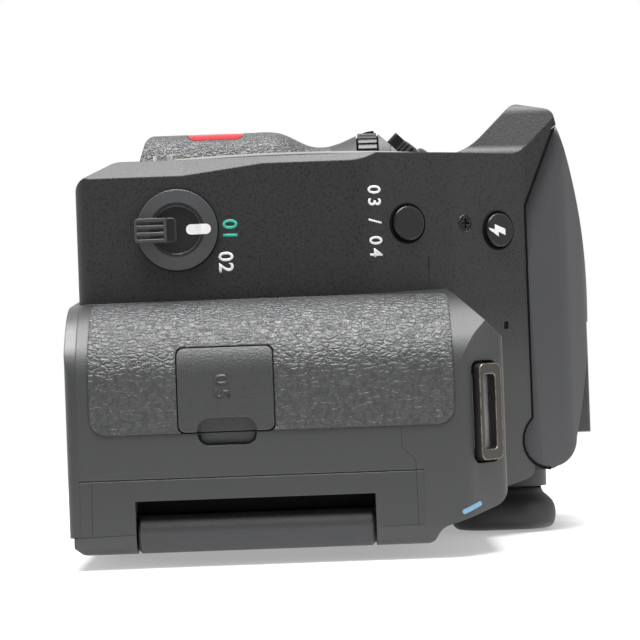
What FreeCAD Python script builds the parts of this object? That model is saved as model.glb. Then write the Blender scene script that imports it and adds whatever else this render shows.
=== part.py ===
import FreeCAD, Part
import math
import os

# Digital SLR camera body with an articulated screen, in millimetres.
# X runs to the photographer's left, Y from the lens towards the eye, Z up.
# The origin is the mouth of the tripod socket, under the lens axis.

os.makedirs("parts", exist_ok=True)
Vector = FreeCAD.Vector
AXIS_X = Vector(1, 0, 0)
AXIS_Y = Vector(0, 1, 0)
AXIS_Z = Vector(0, 0, 1)

# Clearances
slide_gap = 0.15
door_gap = 0.2
seat_gap = 0.05
running_gap = 0.06
pocket_gap = 0.35
overcut = 1.0

# Body outline
left_end_x = 56.75
right_end_x = -68.75
right_core_x = -68.0
left_top_z = 74.0
right_top_z = 72.0
shoulder_bevel = 7.3
wing_front_y = -4.5
right_front_y = -13.0
back_y = 40.0
right_back_y = 37.0
rear_seam_y = 27.5
top_seam_z = 59.5
base_thickness = 2.0
base_rise = 0.8
base_front_y = -3.5
base_rear_setback = 3.2
top_cover_edge_x = -18.0
seam_width = 0.2
seam_depth = 0.35

# Lens mount
lens_axis_z = 38.0
housing_front_y = -27.3
ring_proud = 1.0
ring_outer_r = 31.0
ring_thickness = 3.0
ring_seat_gap = 0.08
ring_chamfer = 0.4
throat_r = 24.0
throat_length = 1.4
relief_r = 25.2
tab_inner_r = 22.5
tab_angle = 62.0
tab_start_angle = 35.0
tab_count = 3
pin_circle_r = 27.5
flange_to_sensor = 45.46
ring_front_y = housing_front_y - ring_proud
ring_back_y = ring_front_y + ring_thickness
sensor_y = ring_front_y + flange_to_sensor
mount_screw_angles = (20.0, 92.0, 160.0, 200.0, 340.0)
mount_screw_r = 1.7
contact_r = 0.9
contact_count = 7
contact_first_angle = 268.0
contact_pitch_angle = 8.0
contact_proud = 0.3
lock_pin_r = 1.5
lock_pin_angle = 220.0
lock_pin_proud = 1.2
coupler_r = 2.0
coupler_angle = 244.0
coupler_proud = 3.4
coupler_reach = 2.0
release_x = -28.3
release_z = 14.5
release_r = 4.3
release_proud = 3.0
release_travel = 2.0
release_depth = 4.0

# Mount housing and viewfinder hump
housing_left_x = 38.0
housing_right_x = -34.0
bevel_wide = 3.0
bevel_narrow = 1.3
bevel_low_z = 20.0
bevel_high_z = 34.0
wall_bend_low_z = 51.5
wall_bend_high_x = 29.7
wall_bend_high_z = 67.5
roof_half = 19.8
roof_z = 81.5
roof_crest_rise = 7.5
roof_crest_inset = 2.6
nose_start_z = 70.2
nose_front_y = -36.9
nose_low_z = 80.0
nose_high_z = 87.2
hump_half = 12.4
hump_rise = 8.1
hump_top_z = roof_z + hump_rise
hump_front_y = 5.2
hump_rear_y = 31.0

# Flash head
flash_hinge_y = 25.3
flash_hinge_rise = 3.2
flash_hinge_z = roof_z + flash_hinge_rise
flash_lobe_r = 5.1
flash_nose_y = -32.6
flash_nose_rise = 6.5
flash_nose_z = roof_z + flash_nose_rise
flash_top_y = -1.0
flash_top_rise = 11.6
flash_top_z = roof_z + flash_top_rise
flash_lip_y = -31.6
flash_lip_rise = 5.8
flash_knee_y = -17.6
flash_half = 19.6
flash_front_half = 15.5
flash_gap = 0.3
flash_arm_start_y = 4.0
flash_pin_r = 1.4
flash_pin_length = 4.0
flash_pin_bite = 1.6
flash_window_half = 11.0
flash_window_front_y = -28.6
flash_window_rear_y = -19.6
flash_window_depth = 1.3

# Hand grip
grip_inner_x = -44.5
grip_front_y = -39.0
grip_bottom_z = 0.4
grip_level_step = 6.0
grip_levels = 13
grip_core_inset = 0.9
finger_hollow = 4.1
finger_hollow_z = 45.0
finger_hollow_span = 6.0
grip_lean = 0.045
grip_foot_y = -30.0
grip_foot_step = 5.2
grip_foot_run = 2.0
grip_foot_slope = 2.0
grip_cover_low_z = 5.0
grip_cover_high_z = 47.0
grip_cover_rear_y = -15.4
facet_x = -52.0
facet_y = -27.5
facet_z = 67.0
window_x0 = -57.0
window_x1 = -49.0
window_z0 = 16.1
window_z1 = 28.1
window_corner = 2.0
window_fit = 0.1

# Articulated screen
screen_hinge_x = 53.2
screen_hinge_y = 36.8
screen_hinge_r = 3.2
screen_post_r = 3.4
screen_edge_gap = 3.8
screen_low_z = 3.6
screen_high_z = 57.6
screen_right_x = -27.6
screen_front_y = 34.0
hinge_low_z = 11.5
hinge_high_z = 51.0
hinge_arm_inset = 8.0
window_margin = 0.3
window_front_y = 31.0
hinge_window_depth = 6.0
glass_depth = 1.2
glass_thickness = 1.0
glass_border_x = 3.0
glass_border_hinge = 4.0
glass_border_z = 2.6

# Eyepiece
eyecup_seat_y = 34.3
eyecup_back_y = 42.3
eyepiece_z = 76.0
eyepiece_half_x = 10.5
eyepiece_half_z = 7.0
eyepiece_corner = 2.5
eyepiece_front_y = 27.5
eyepiece_back_y = 32.5
eyepiece_lens_r = 40.0
eyecup_half_x = 18.6
eyecup_low = 10.1
eyecup_high = 10.3
eyecup_wall = 7.1
dioptre_half = 3.0
dioptre_travel = 3.5
dioptre_y0 = 26.9
dioptre_y1 = 29.6
dioptre_depth = 1.2
prism_half = 14.0
prism_front_y = -14.0
prism_back_y = 13.0
prism_top_z = 79.6
prism_fit = 0.4

# Mirror box
box_half_x = 21.5
box_low_z = 17.0
box_high_z = 56.0
box_wall = 1.8
box_back_y = 14.0
box_back_wall = 1.5
flange_back_y = -20.0
flange_r = 30.0
flange_bore_r = 25.2
gate_half_x = 12.8
gate_half_z = 8.8
mirror_hinge_y = 10.6
mirror_hinge_z = 49.4
mirror_length = 26.0
mirror_half_x = 14.4
mirror_thickness = 1.6
mirror_pin_r = 0.8
screen_window = 13.4
screen_window_y0 = -8.0
screen_window_y1 = 12.0
lever_angle = 186.0
lever_travel = 12.0
lever_half_angle = 4.0
lever_finger_angle = 1.6
lever_finger_r = 20.6
lever_arm_width = 1.8
lever_thickness = 1.5

# Shutter, sensor and board
shutter_thickness = 2.6
shutter_face = 0.4
blade_thickness = 0.4
blade_gap = 0.2
blade_overlap = 0.6
shutter_half_x = 22.0
shutter_low_z = 15.0
shutter_high_z = 59.0
sensor_half_x = 15.0
sensor_half_z = 11.0
sensor_thickness = 2.8
carriage_half_x = 22.0
carriage_half_z = 16.0
carriage_thickness = 1.4
rail_x = 16.7
rail_half_x = 1.5
rail_half_z = 14.0
chamber_half_x = 30.0
chamber_low_z = 10.0
board_front_y = 24.6
board_back_y = 26.2
board_margin = 0.5
post_r = 2.0
post_x = 18.0
post_z = 13.0
boss_x = 26.0
boss_zs = (14.0, 56.0)
chip_half = 7.0
chip_height = 1.2

# Battery and card
battery_x0 = -60.5
battery_x1 = -47.0
battery_y0 = -27.5
battery_y1 = 4.0
battery_z0 = 3.4
battery_z1 = 48.4
battery_fit = 0.3
battery_corner = 2.0
door_side = 5.0
door_x0 = battery_x0 - door_side
door_x1 = -45.6
door_y0 = battery_y0 - 2.0
door_y1 = battery_y1 + door_side
door_low_z = 0.4
door_high_z = 2.6
door_sweep = 1.3
latch_x0 = -63.0
latch_x1 = -59.2
latch_length = 8.4
latch_travel = 2.0
latch_thickness = 0.9
latch_y0 = -14.2
card_width = 24.0
card_length = 32.0
card_thickness = 2.1
card_y = 17.0
card_z = 37.0
card_x0 = -64.5
card_room = 4.0
card_door_x = -66.2
card_door_y0 = 10.0
card_door_y1 = 26.0
card_door_z0 = 20.0
card_door_z1 = 54.0

# Covering and microphone cover on the left end
skin_proud = 0.25
skin_depth = 0.8
leather_low_z = 4.0
leather_high_z = 65.0
leather_rear_y = 19.9
leather_front_x = 42.6
leather_corner = 3.0
mic_y0 = 5.8
mic_y1 = 19.8
mic_z0 = 18.9
mic_z1 = 34.9
mic_corner = 1.2
mic_cover_depth = 1.7
mic_swing_room = 1.0
mic_socket_y = 14.0
mic_socket_z = 26.9
mic_socket_r = 3.0
mic_bore_r = 1.8
mic_socket_length = 11.0
mic_socket_setback = 0.5
notch_y0 = 17.4
notch_y1 = 22.1
notch_z0 = 21.9
notch_z1 = 31.9
notch_depth = 0.9

# Focus selector
selector_y = -14.8
selector_z = 18.7
selector_r = 7.1
selector_dish_r = 4.2
selector_dish = 0.5
selector_seat = 1.2
selector_foot_gap = 0.2
selector_proud = 1.5
selector_edge = 0.5
selector_tab_half = 2.1
selector_tab_height = 1.8

# Buttons, dials and screws
small_button_r = 3.1
button_proud = 0.8
button_depth = 2.4
button_travel = 0.6
button_crown = 0.4
button_well = button_depth + button_travel + 0.4
side_button_y = -14.7
side_button_z = 59.2
flash_button_y = -13.3
flash_button_z = 76.0
wall_screw_y = -14.6
wall_screw_z = 69.8
wall_screw_r = 1.55
wall_screw_length = 2.0
base_screw_r = 1.6
base_screws = [(50, 6), (50, 33), (16, 33), (-16, 33), (-36, 33), (-60, 33)]
screw_sink = 0.2
sound_slot_y = 3.3
sound_slot_z = 76.5
mode_dial_point = Vector(-40.0, 8.0, right_top_z)
mode_dial_r = 9.6
mode_dial_gap = 0.3
mode_dial_height = 6.5
mode_crown = 0.5
mode_stem_r = 4.0
mode_stem_depth = 3.0
front_dial_point = Vector(-52.0, -30.8, 52.6)
front_dial_r = 7.2
front_dial_height = 4.0
rear_dial_point = Vector(-50.0, 28.6, 65.2)
rear_dial_r = 8.8
rear_dial_height = 4.8
dial_pin_r = 1.6
exposure_point = Vector(-44.5, -15.5, right_top_z)
ring_r = 9.3
ring_gap = 0.35
ring_bore_r = 6.2
ring_height = 2.6
ring_tab_half = 1.8
ring_tab_length = 2.4
shutter_r = 5.8
shutter_proud = 4.4
shutter_depth = 2.4
pad_point = Vector(-49.5, right_back_y, 30.0)
pad_outer_r = 10.2
pad_inner_r = 4.6
pad_depth = 2.0
pad_proud = 0.9
ok_r = 4.2
ok_depth = 3.2
ok_proud = 1.1
rear_buttons = {
    "menu_button": (-41.5, 12.5),
    "play_button": (-57.5, 12.5),
    "info_button": (-38.0, 45.5),
    "live_view_button": (-38.0, 53.0),
}

# Strap lugs
lug_y = 18.2
lug_length = 16.2
lug_width = 5.4
lug_slot_length = 12.6
lug_slot_width = 3.0
lug_bar = 1.5
lug_plate = 1.6
lug_pocket = 2.6
lug_fit = 0.5

# Hot shoe
shoe_inner_width = 18.6
shoe_lip_width = 12.5
shoe_slot_height = 2.1
shoe_sheet = 1.2
shoe_floor = 0.6
shoe_lip = 0.8
shoe_front_y = 7.0
shoe_rear_y = 24.6

# Tripod socket
socket_hole_r = 3.175
socket_hole_depth = 6.0
socket_outer_r = 5.0
socket_height = 8.0


def plan(z):
    return lambda a, b: Vector(a, b, z)


def front(y):
    return lambda a, b: Vector(a, y, b)


def side(x):
    return lambda a, b: Vector(x, a, b)


def unit(a, b):
    length = math.hypot(b[0] - a[0], b[1] - a[1])
    return (b[0] - a[0]) / length, (b[1] - a[1]) / length


def outline(corners, place):
    """Closed face through corners (a, b, radius), each rounded by a tangent arc."""
    edges = []
    starts = []
    ends = []
    middles = []
    count = len(corners)
    for i in range(count):
        here = corners[i]
        to_last = unit(here, corners[i - 1])
        to_next = unit(here, corners[(i + 1) % count])
        radius = here[2]
        if radius <= 0:
            starts.append((here[0], here[1]))
            ends.append((here[0], here[1]))
            middles.append(None)
            continue
        cosine = to_last[0] * to_next[0] + to_last[1] * to_next[1]
        half = math.acos(max(-1, min(1, cosine))) / 2
        reach = radius / math.tan(half)
        bisector = unit((0, 0), (to_last[0] + to_next[0], to_last[1] + to_next[1]))
        depth = radius / math.sin(half) - radius
        starts.append((here[0] + to_last[0] * reach, here[1] + to_last[1] * reach))
        ends.append((here[0] + to_next[0] * reach, here[1] + to_next[1] * reach))
        middles.append((here[0] + bisector[0] * depth, here[1] + bisector[1] * depth))
    for i in range(count):
        if middles[i] is not None:
            arc = Part.Arc(place(*starts[i]), place(*middles[i]), place(*ends[i]))
            edges.append(arc.toShape())
        begin = place(*ends[i])
        finish = place(*starts[(i + 1) % count])
        if begin.distanceToPoint(finish) > 1e-6:
            edges.append(Part.makeLine(begin, finish))
    return Part.Face(Part.Wire(edges))


def plan_prism(corners, z0, z1):
    return outline(corners, plan(z0)).extrude(Vector(0, 0, z1 - z0))


def front_prism(corners, y0, y1):
    return outline(corners, front(y0)).extrude(Vector(0, y1 - y0, 0))


def side_prism(corners, x0, x1):
    return outline(corners, side(x0)).extrude(Vector(x1 - x0, 0, 0))


def block(x0, x1, y0, y1, z0, z1):
    return Part.makeBox(x1 - x0, y1 - y0, z1 - z0, Vector(x0, y0, z0))


def rod(radius, start, along, length):
    return Part.makeCylinder(radius, length, start, along)


def tube(outer, inner, start, along, length):
    return rod(outer, start, along, length).cut(rod(inner, start, along, length))


def rectangle(a0, a1, b0, b1, radius):
    return [(a0, b0, radius), (a1, b0, radius), (a1, b1, radius), (a0, b1, radius)]


def joined(shapes):
    whole = shapes[0]
    for shape in shapes[1:]:
        whole = whole.fuse(shape)
    return whole


def lens_point(radius, degrees, y):
    """A point at a radius and an angle round the lens axis, 0 at the photographer's left."""
    angle = math.radians(degrees)
    x = radius * math.cos(angle)
    z = lens_axis_z + radius * math.sin(angle)
    return Vector(x, y, z)


def rim_edges(shape, centre, along, radius):
    """Circular edges of a turned piece at one place and radius."""
    found = []
    for edge in shape.Edges:
        curve = edge.Curve
        if not isinstance(curve, Part.Circle):
            continue
        if abs(curve.Radius - radius) > 0.01:
            continue
        if abs((curve.Center - centre).dot(along)) < 0.01:
            found.append(edge)
    return found


def button(surface, outward, radius, proud, depth, crown):
    """Round button whose crown stands proud of a surface point, with a rounded rim."""
    start = surface - outward * depth
    shape = rod(radius, start, outward, proud + depth)
    rim = rim_edges(shape, surface + outward * proud, outward, radius)
    return shape.makeFillet(crown, rim)


def small_button(surface, outward):
    return button(surface, outward, small_button_r, button_proud, button_depth, button_crown)


def well(surface, outward, radius, depth):
    return rod(radius + slide_gap, surface - outward * depth, outward, depth + 2 * overcut)


def small_well(surface, outward):
    return well(surface, outward, small_button_r, button_well)


def ring_hole(radius, degrees):
    """Hole right through the mount ring at an angle of its screw circle."""
    start = lens_point(pin_circle_r, degrees, ring_front_y - overcut)
    return rod(radius, start, AXIS_Y, ring_thickness + 2 * overcut)


# Outlines of the body


def body_plan():
    """The body seen from above, without the grip."""
    return [
        (left_end_x, back_y, screen_post_r),
        (left_end_x, 7.0, 10.0),
        (48.0, wing_front_y + 3.0, 14.0),
        (8.0, wing_front_y, 0),
        (6.0, right_front_y, 0),
        (grip_inner_x - 6, right_front_y, 0),
        (right_core_x, right_front_y + 5, 6.0),
        (right_core_x, right_back_y, 7.0),
        (-40.0, back_y, 6.0),
    ]


def body_front():
    """The body seen from the front, without the hump."""
    return [
        (left_end_x, 0, 1.5),
        (left_end_x, left_top_z - shoulder_bevel, 4.0),
        (left_end_x - shoulder_bevel, left_top_z, 3.0),
        (0, left_top_z, 0),
        (-20, right_top_z, 0),
        (right_core_x + shoulder_bevel, right_top_z, 4.0),
        (right_core_x, right_top_z - shoulder_bevel, 4.0),
        (right_core_x, 0, 1.5),
    ]


def body_side():
    """The body seen from its left end."""
    return [
        (-16, 0, 0),
        (back_y - 2.2, 0, 1.5),
        (back_y, 2.4, 1.5),
        (back_y, 60.8, 2.0),
        (37.2, 62.2, 3.0),
        (33.6, left_top_z, 3.0),
        (right_front_y + 3, left_top_z, 0),
        (-16, 70, 0),
    ]


def core_body():
    shape = plan_prism(body_plan(), 0, left_top_z + 1)
    shape = shape.common(front_prism(body_front(), -20, back_y + 1))
    shape = shape.common(side_prism(body_side(), right_end_x - 1, left_end_x + 1))
    return shape.cut(wing_slope())


def wing_slope():
    """The space in front of the left shoulder, where the wing's front rolls over to the top."""
    slope = [(-12, 64.0, 0), (wing_front_y + 2.5, 66.0, 6.0), (6.0, left_top_z + 0.1, 0), (-12, 80, 0)]
    return side_prism(slope, 8.0, left_end_x + 2)


def housing_wall():
    """Left half of the housing seen from the front, from its foot to the roof."""
    return [
        (housing_left_x, base_rise, 3.0),
        (housing_left_x, wall_bend_low_z, 10.0),
        (wall_bend_high_x, wall_bend_high_z, 16.0),
        (roof_half, roof_z, 0),
    ]


def housing():
    """Mount housing: the meeting of its three outlines, with a rounded rim along its front."""
    right_wall = [
        (-roof_half, roof_z, 0),
        (-wall_bend_high_x, wall_bend_high_z, 16.0),
        (housing_right_x, wall_bend_low_z + 7, 6.0),
        (housing_right_x, base_rise, 3.0),
    ]
    crest_half = roof_half - roof_crest_inset
    crest_z = roof_z + roof_crest_rise
    roof = [(crest_half, crest_z, 1.5), (-crest_half, crest_z, 1.5)]
    seen_from_front = housing_wall() + roof + right_wall
    seen_from_side = [
        (rear_seam_y, base_rise, 0),
        (housing_front_y + 3.7, base_rise, 3.0),
        (housing_front_y, base_rise + 7.2, 4.0),
        (housing_front_y, nose_start_z, 12.0),
        (nose_front_y, nose_low_z, 2.4),
        (nose_front_y + 1.5, nose_high_z, 2.0),
        (nose_front_y + 5.9, nose_high_z + 1.0, 0),
        (-18.0, roof_z, 0),
        (hump_rear_y + 0.8, roof_z, 2.0),
        (36.6, 63.0, 0),
        (rear_seam_y, top_seam_z, 0),
    ]
    nose_half = roof_half - 3.2
    shoulder = nose_half + 3.5
    seen_from_above = [
        (housing_left_x, 38, 0),
        (housing_left_x, housing_front_y, 0),
        (shoulder, housing_front_y, 2.5),
        (nose_half, nose_front_y - 0.3, 3.5),
        (-nose_half, nose_front_y - 0.3, 3.5),
        (-shoulder, housing_front_y, 2.5),
        (housing_right_x, housing_front_y, 0),
        (housing_right_x, 38, 0),
    ]
    shape = front_prism(seen_from_front, -38, 38)
    shape = shape.common(side_prism(seen_from_side, housing_right_x - 1, housing_left_x + 1))
    shape = shape.common(plan_prism(seen_from_above, 0, 90))
    return shape.cut(edge_bevel(housing_left_x, 1)).cut(edge_bevel(housing_right_x, -1))


def edge_bevel(wall_x, outward):
    """Wedge along a front edge of the housing: wide at the foot, narrow from half height upward."""
    stretches = [
        (-1.0, bevel_low_z, bevel_wide, bevel_wide),
        (bevel_low_z, bevel_high_z, bevel_wide, bevel_narrow),
        (bevel_high_z, top_seam_z, bevel_narrow, bevel_narrow),
    ]
    wedges = []
    for low, high, low_width, high_width in stretches:
        ends = [bevel_section(wall_x, outward, low, low_width)]
        ends.append(bevel_section(wall_x, outward, high, high_width))
        wedges.append(Part.makeLoft(ends, True, True))
    return joined(wedges)


def bevel_section(wall_x, outward, z, width):
    """Triangle outside a front edge at one height, a little larger than the corner it cuts."""
    spare = 1.0
    points = [
        Vector(wall_x - outward * (width + spare), housing_front_y - spare, z),
        Vector(wall_x + outward * spare, housing_front_y - spare, z),
        Vector(wall_x + outward * spare, housing_front_y + width + spare, z),
    ]
    return Part.makePolygon(points + points[:1])


def hump():
    """The block between the flash arms that carries the shoe, and the frame of the eyepiece."""
    foot_z = roof_z - 3.5
    middle = [
        (hump_front_y, foot_z, 0),
        (hump_front_y, hump_top_z, 1.0),
        (hump_rear_y - 4.5, hump_top_z, 2.0),
        (hump_rear_y, hump_top_z - 3.4, 2.0),
        (hump_rear_y + 0.8, foot_z, 0),
    ]
    shape = side_prism(middle, -hump_half, hump_half)
    low = eyepiece_z - eyecup_high + 1.7
    high = eyepiece_z + eyecup_high - 1.7
    frame = front_prism(rectangle(-hump_half, hump_half, low, high, 4.0), 24, eyecup_seat_y)
    return shape.fuse(frame)


# Hand grip


# Lengths of the stretches between the points of a grip section, as shares of the curve
grip_shares = [8.0, 10.0, 9.5, 6.4, 6.7, 9.5, 14.3, 13.0, 12.0]

def grip_front(z):
    """Depth of the grip's front at a height: full, with a hollow for the middle finger."""
    hollow = finger_hollow * math.exp(-(((z - finger_hollow_z) / finger_hollow_span) ** 2))
    return grip_front_y + hollow + grip_lean * max(0.0, z - finger_hollow_z)


def grip_section(z, inset):
    """Closed section of the grip: a curve round the fingers and a straight side in the body."""
    f = grip_front(z) + inset
    i = grip_inner_x - inset
    o = right_end_x + inset
    points = [
        Vector(i + 2.0, -8.0, z),
        Vector(i + 0.4, -16.0, z),
        Vector(i, -26.0, z),
        Vector(i - 2.4, f + 3.8, z),
        Vector(i - 7.5, f, z),
        Vector(i - 14.0, f + 1.6, z),
        Vector(o + 4.2, f + 9.5, z),
        Vector(o + 0.8, -16.0, z),
        Vector(o, -3.0, z),
        Vector(o + 0.9, 9.0, z),
    ]
    shares = [0.0]
    for k in range(1, len(points)):
        shares.append(shares[-1] + grip_shares[k - 1])
    curve = Part.BSplineCurve()
    curve.interpolate(Points=points, Parameters=shares)
    closing = Part.makeLine(points[-1], points[0])
    return Part.Wire([curve.toShape(), closing])


def grip_loft(inset):
    levels = [grip_bottom_z + grip_level_step * k for k in range(grip_levels)]
    return Part.makeLoft([grip_section(z, inset) for z in levels], True, False)


def grip_form():
    """The grip with its foot rounded off at the front and the slanting flat on top."""
    foot_front = grip_front_y - 0.4
    step_z = grip_bottom_z + grip_foot_step
    foot = [
        (30, grip_bottom_z - 1, 0),
        (grip_foot_y, grip_bottom_z - 1, 0),
        (grip_foot_y, grip_bottom_z, 1.0),
        (grip_foot_y - grip_foot_run, step_z, 3.0),
        (foot_front, step_z + grip_foot_slope, 3.2),
        (foot_front, right_top_z, 0),
        (30, right_top_z, 0),
    ]
    form = grip_loft(0).common(side_prism(foot, right_end_x - 2, grip_inner_x + 8))
    return form.cut(facet_cut())


def facet_cut():
    """Slanting flat at the grip's top front, where the shutter button stands."""
    foot = facet_z + (-46.0 - facet_y)
    reach = right_top_z - facet_z + facet_y
    corners = [(-46.0, foot, 0), (reach, right_top_z, 0), (reach, 95.0, 0), (-46.0, 95.0, 0)]
    return side_prism(corners, right_end_x - 2, grip_inner_x + 8)

# Forms that the covers are cut from

facet_out = Vector(0, -math.sqrt(0.5), math.sqrt(0.5))
facet_centre = Vector(facet_x, facet_y, facet_z)
core = core_body()
grip = grip_form()
grip_core = grip_loft(grip_core_inset)
body_form = core.fuse(grip)
housing_form = housing()


# Strap lugs


def shoulder_frame(side_sign):
    """Placement that puts a lug built flat at the origin on one of the two shoulder bevels."""
    if side_sign > 0:
        x = left_end_x - shoulder_bevel / 2
        z = left_top_z - shoulder_bevel / 2
    else:
        x = right_core_x + shoulder_bevel / 2
        z = right_top_z - shoulder_bevel / 2
    turn = FreeCAD.Rotation(AXIS_Y, 45.0 * side_sign)
    return FreeCAD.Placement(Vector(x, lug_y, z), turn)


def lug_pocket_shape(side_sign):
    half_width = lug_width / 2 + lug_fit
    half_length = lug_length / 2 + lug_fit
    corners = rectangle(-half_width, half_width, -half_length, half_length, 1.4)
    shape = plan_prism(corners, -lug_pocket, 6)
    shape.Placement = shoulder_frame(side_sign)
    return shape


def strap_lug(side_sign):
    """A metal loop on two feet, with its bar on the upper side of the strap's slot."""
    half_width = lug_width / 2
    half_length = lug_length / 2
    top = lug_plate - 0.2
    plate = plan_prism(rectangle(-half_width, half_width, -half_length, half_length, 1.2), -0.2, top)
    bar_edge = half_width - lug_bar
    slot_a0 = bar_edge - lug_slot_width
    slot_b = lug_slot_length / 2
    if side_sign > 0:
        slot = rectangle(-bar_edge, -slot_a0, -slot_b, slot_b, 0.6)
    else:
        slot = rectangle(slot_a0, bar_edge, -slot_b, slot_b, 0.6)
    plate = plate.cut(plan_prism(slot, -2, 4))
    foot_length = (lug_length - lug_slot_length) / 2 - 0.2
    feet = []
    for sign in (-1, 1):
        outer = sign * half_length
        inner = outer - sign * foot_length
        low = min(outer, inner)
        high = max(outer, inner)
        feet.append(block(-1.6, 1.6, low, high, -lug_pocket, -0.1))
    shape = joined([plate] + feet)
    shape.Placement = shoulder_frame(side_sign)
    return shape


def wall_frame(z, high):
    """Point and outward direction on the leaning wall of the housing at a height."""
    if high:
        low_x = wall_bend_high_x
        low_z = wall_bend_high_z
        top_x = roof_half
        top_z = roof_z
    else:
        low_x = housing_left_x
        low_z = wall_bend_low_z
        top_x = wall_bend_high_x
        top_z = wall_bend_high_z
    run = top_x - low_x
    rise = top_z - low_z
    length = math.hypot(run, rise)
    outward = Vector(rise / length, 0, -run / length)
    x = low_x + run * (z - low_z) / rise
    return x, outward

# Places on the leaning wall and on the housing's front

side_button_x, side_button_out = wall_frame(side_button_z, False)
side_button_point = Vector(side_button_x, side_button_y, side_button_z)
flash_button_x, flash_button_out = wall_frame(flash_button_z, True)
flash_button_point = Vector(flash_button_x, flash_button_y, flash_button_z)
screw_x, screw_out = wall_frame(wall_screw_z, True)
wall_screw_point = Vector(screw_x, wall_screw_y, wall_screw_z)
release_point = Vector(release_x, housing_front_y, release_z)


# Flash head


def flash_profile(grow):
    """Side outline of the flash head; a larger outline cuts its seat."""
    r = flash_lobe_r + grow
    joint_angle = math.acos(flash_hinge_rise / flash_lobe_r)
    joint_y = flash_hinge_y - r * math.sin(joint_angle)
    bottom = flash_hinge_z - r * math.cos(joint_angle)
    place = side(-flash_half)
    nose = place(flash_nose_y - grow, flash_nose_z + grow)
    crest = place(flash_top_y, flash_top_z + grow)
    lobe_top = place(flash_hinge_y, flash_hinge_z + r)
    lobe_low = place(flash_hinge_y, flash_hinge_z - r)
    half_way = joint_angle / 2
    under = place(flash_hinge_y - r * math.sin(half_way), flash_hinge_z - r * math.cos(half_way))
    lip = place(flash_lip_y - grow, roof_z + flash_lip_rise - grow)
    knee = place(flash_knee_y, roof_z - grow)
    edges = [
        Part.Arc(nose, crest, lobe_top).toShape(),
        Part.Arc(lobe_top, place(flash_hinge_y + r, flash_hinge_z), lobe_low).toShape(),
        Part.Arc(lobe_low, under, place(joint_y, bottom)).toShape(),
        Part.makeLine(place(joint_y, bottom), knee),
        Part.makeLine(knee, lip),
        Part.makeLine(lip, nose),
    ]
    return Part.Face(Part.Wire(edges)).extrude(Vector(2 * flash_half, 0, 0))


def flash_channel(gap):
    """Space between the flash arms."""
    half = hump_half + gap
    return block(-half, half, flash_arm_start_y, 40, roof_z - 10, flash_top_z + 10)


def flash_head():
    """Flash head: its curved lid, two arms with round lobes at the hinge, and the hinge pins."""
    shape = flash_profile(0)
    edge_half = roof_half - roof_crest_inset
    crest = roof_z + roof_crest_rise
    lid = flash_top_z + 0.3
    seen_from_front = [
        (flash_half, roof_z - 3.5, 0),
        (roof_half - 0.2, roof_z, 0),
        (edge_half, crest - 0.4, 5.0),
        (edge_half - 4.9, lid, 5.0),
        (-edge_half + 4.9, lid, 5.0),
        (-edge_half, crest - 0.4, 5.0),
        (-roof_half + 0.2, roof_z, 0),
        (-flash_half, roof_z - 3.5, 0),
    ]
    seen_from_above = [
        (flash_half, -8, 30.0),
        (flash_front_half, flash_nose_y - 1.9, 5.0),
        (-flash_front_half, flash_nose_y - 1.9, 5.0),
        (-flash_half, -8, 30.0),
        (-flash_half + 0.6, 33, 0),
        (flash_half - 0.6, 33, 0),
    ]
    shape = shape.common(front_prism(seen_from_front, -40, 40))
    shape = shape.common(plan_prism(seen_from_above, roof_z - 10, flash_top_z + 10))
    shape = shape.cut(flash_channel(flash_gap))
    shape = shape.cut(flash_window_plate())
    for sign in (-1, 1):
        start = Vector(sign * (hump_half - flash_pin_bite), flash_hinge_y, flash_hinge_z)
        shape = shape.fuse(rod(flash_pin_r, start, AXIS_X * sign, flash_pin_length))
    return shape


def flash_window_plate():
    """Clear window in the slanting underside of the flash head."""
    low = flash_underside(flash_window_front_y)
    high = flash_underside(flash_window_rear_y)
    corners = [
        (flash_window_front_y, low, 0),
        (flash_window_rear_y, high, 0),
        (flash_window_rear_y + 0.5, high + flash_window_depth, 0),
        (flash_window_front_y + 0.5, low + flash_window_depth, 0),
    ]
    return side_prism(corners, -flash_window_half, flash_window_half)


def flash_underside(y):
    """Height of the slanting underside at a depth."""
    return roof_z + flash_lip_rise * (flash_knee_y - y) / (flash_knee_y - flash_lip_y)


def flash_seat():
    """Room for the flash head, with an even gap all round."""
    seat = flash_profile(flash_gap)
    wide_seat = seat.fuse(seat.translated(AXIS_X * 3)).fuse(seat.translated(-AXIS_X * 3))
    wide_seat = wide_seat.cut(block(-hump_half, hump_half, hump_front_y, 50, 70, 110))
    pins = []
    for sign in (-1, 1):
        start = Vector(sign * (hump_half + 1), flash_hinge_y, flash_hinge_z)
        pins.append(rod(flash_pin_r + running_gap, start, -AXIS_X * sign, flash_pin_bite + 1.3))
    return joined([wide_seat] + pins)


# Covers


def upper_body():
    """Front cover before its openings: the core and grip, less the base, the back and the top right."""
    body = body_form.cut(block(-80, 70, -60, 60, -1, base_thickness))
    body = body.cut(block(-80, 70, rear_seam_y, 60, -1, top_seam_z))
    return body.cut(block(-80, top_cover_edge_x, -60, 60, top_seam_z, 100))


def top_cover_blank():
    body = body_form.common(block(-80, top_cover_edge_x, -60, 60, top_seam_z, 100))
    return body.cut(housing_form)


def seam_groove():
    """Fine line that shows on the left end where the front and rear covers meet."""
    x0 = left_end_x - seam_depth
    y0 = rear_seam_y - seam_width
    return block(x0, left_end_x + 1, y0, rear_seam_y, base_thickness, top_seam_z)


def sound_slot():
    """Small slot of a microphone in the leaning wall."""
    x, outward = wall_frame(sound_slot_z, True)
    x0 = x - 1.5
    return block(x0, x0 + 4, sound_slot_y, sound_slot_y + 1.4, sound_slot_z, sound_slot_z + 0.8)


def grip_region():
    """Part of the grip that the rubber covers."""
    return block(
        right_end_x - 2,
        grip_inner_x + 4,
        -50,
        grip_cover_rear_y,
        grip_cover_low_z,
        grip_cover_high_z,
    )


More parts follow.
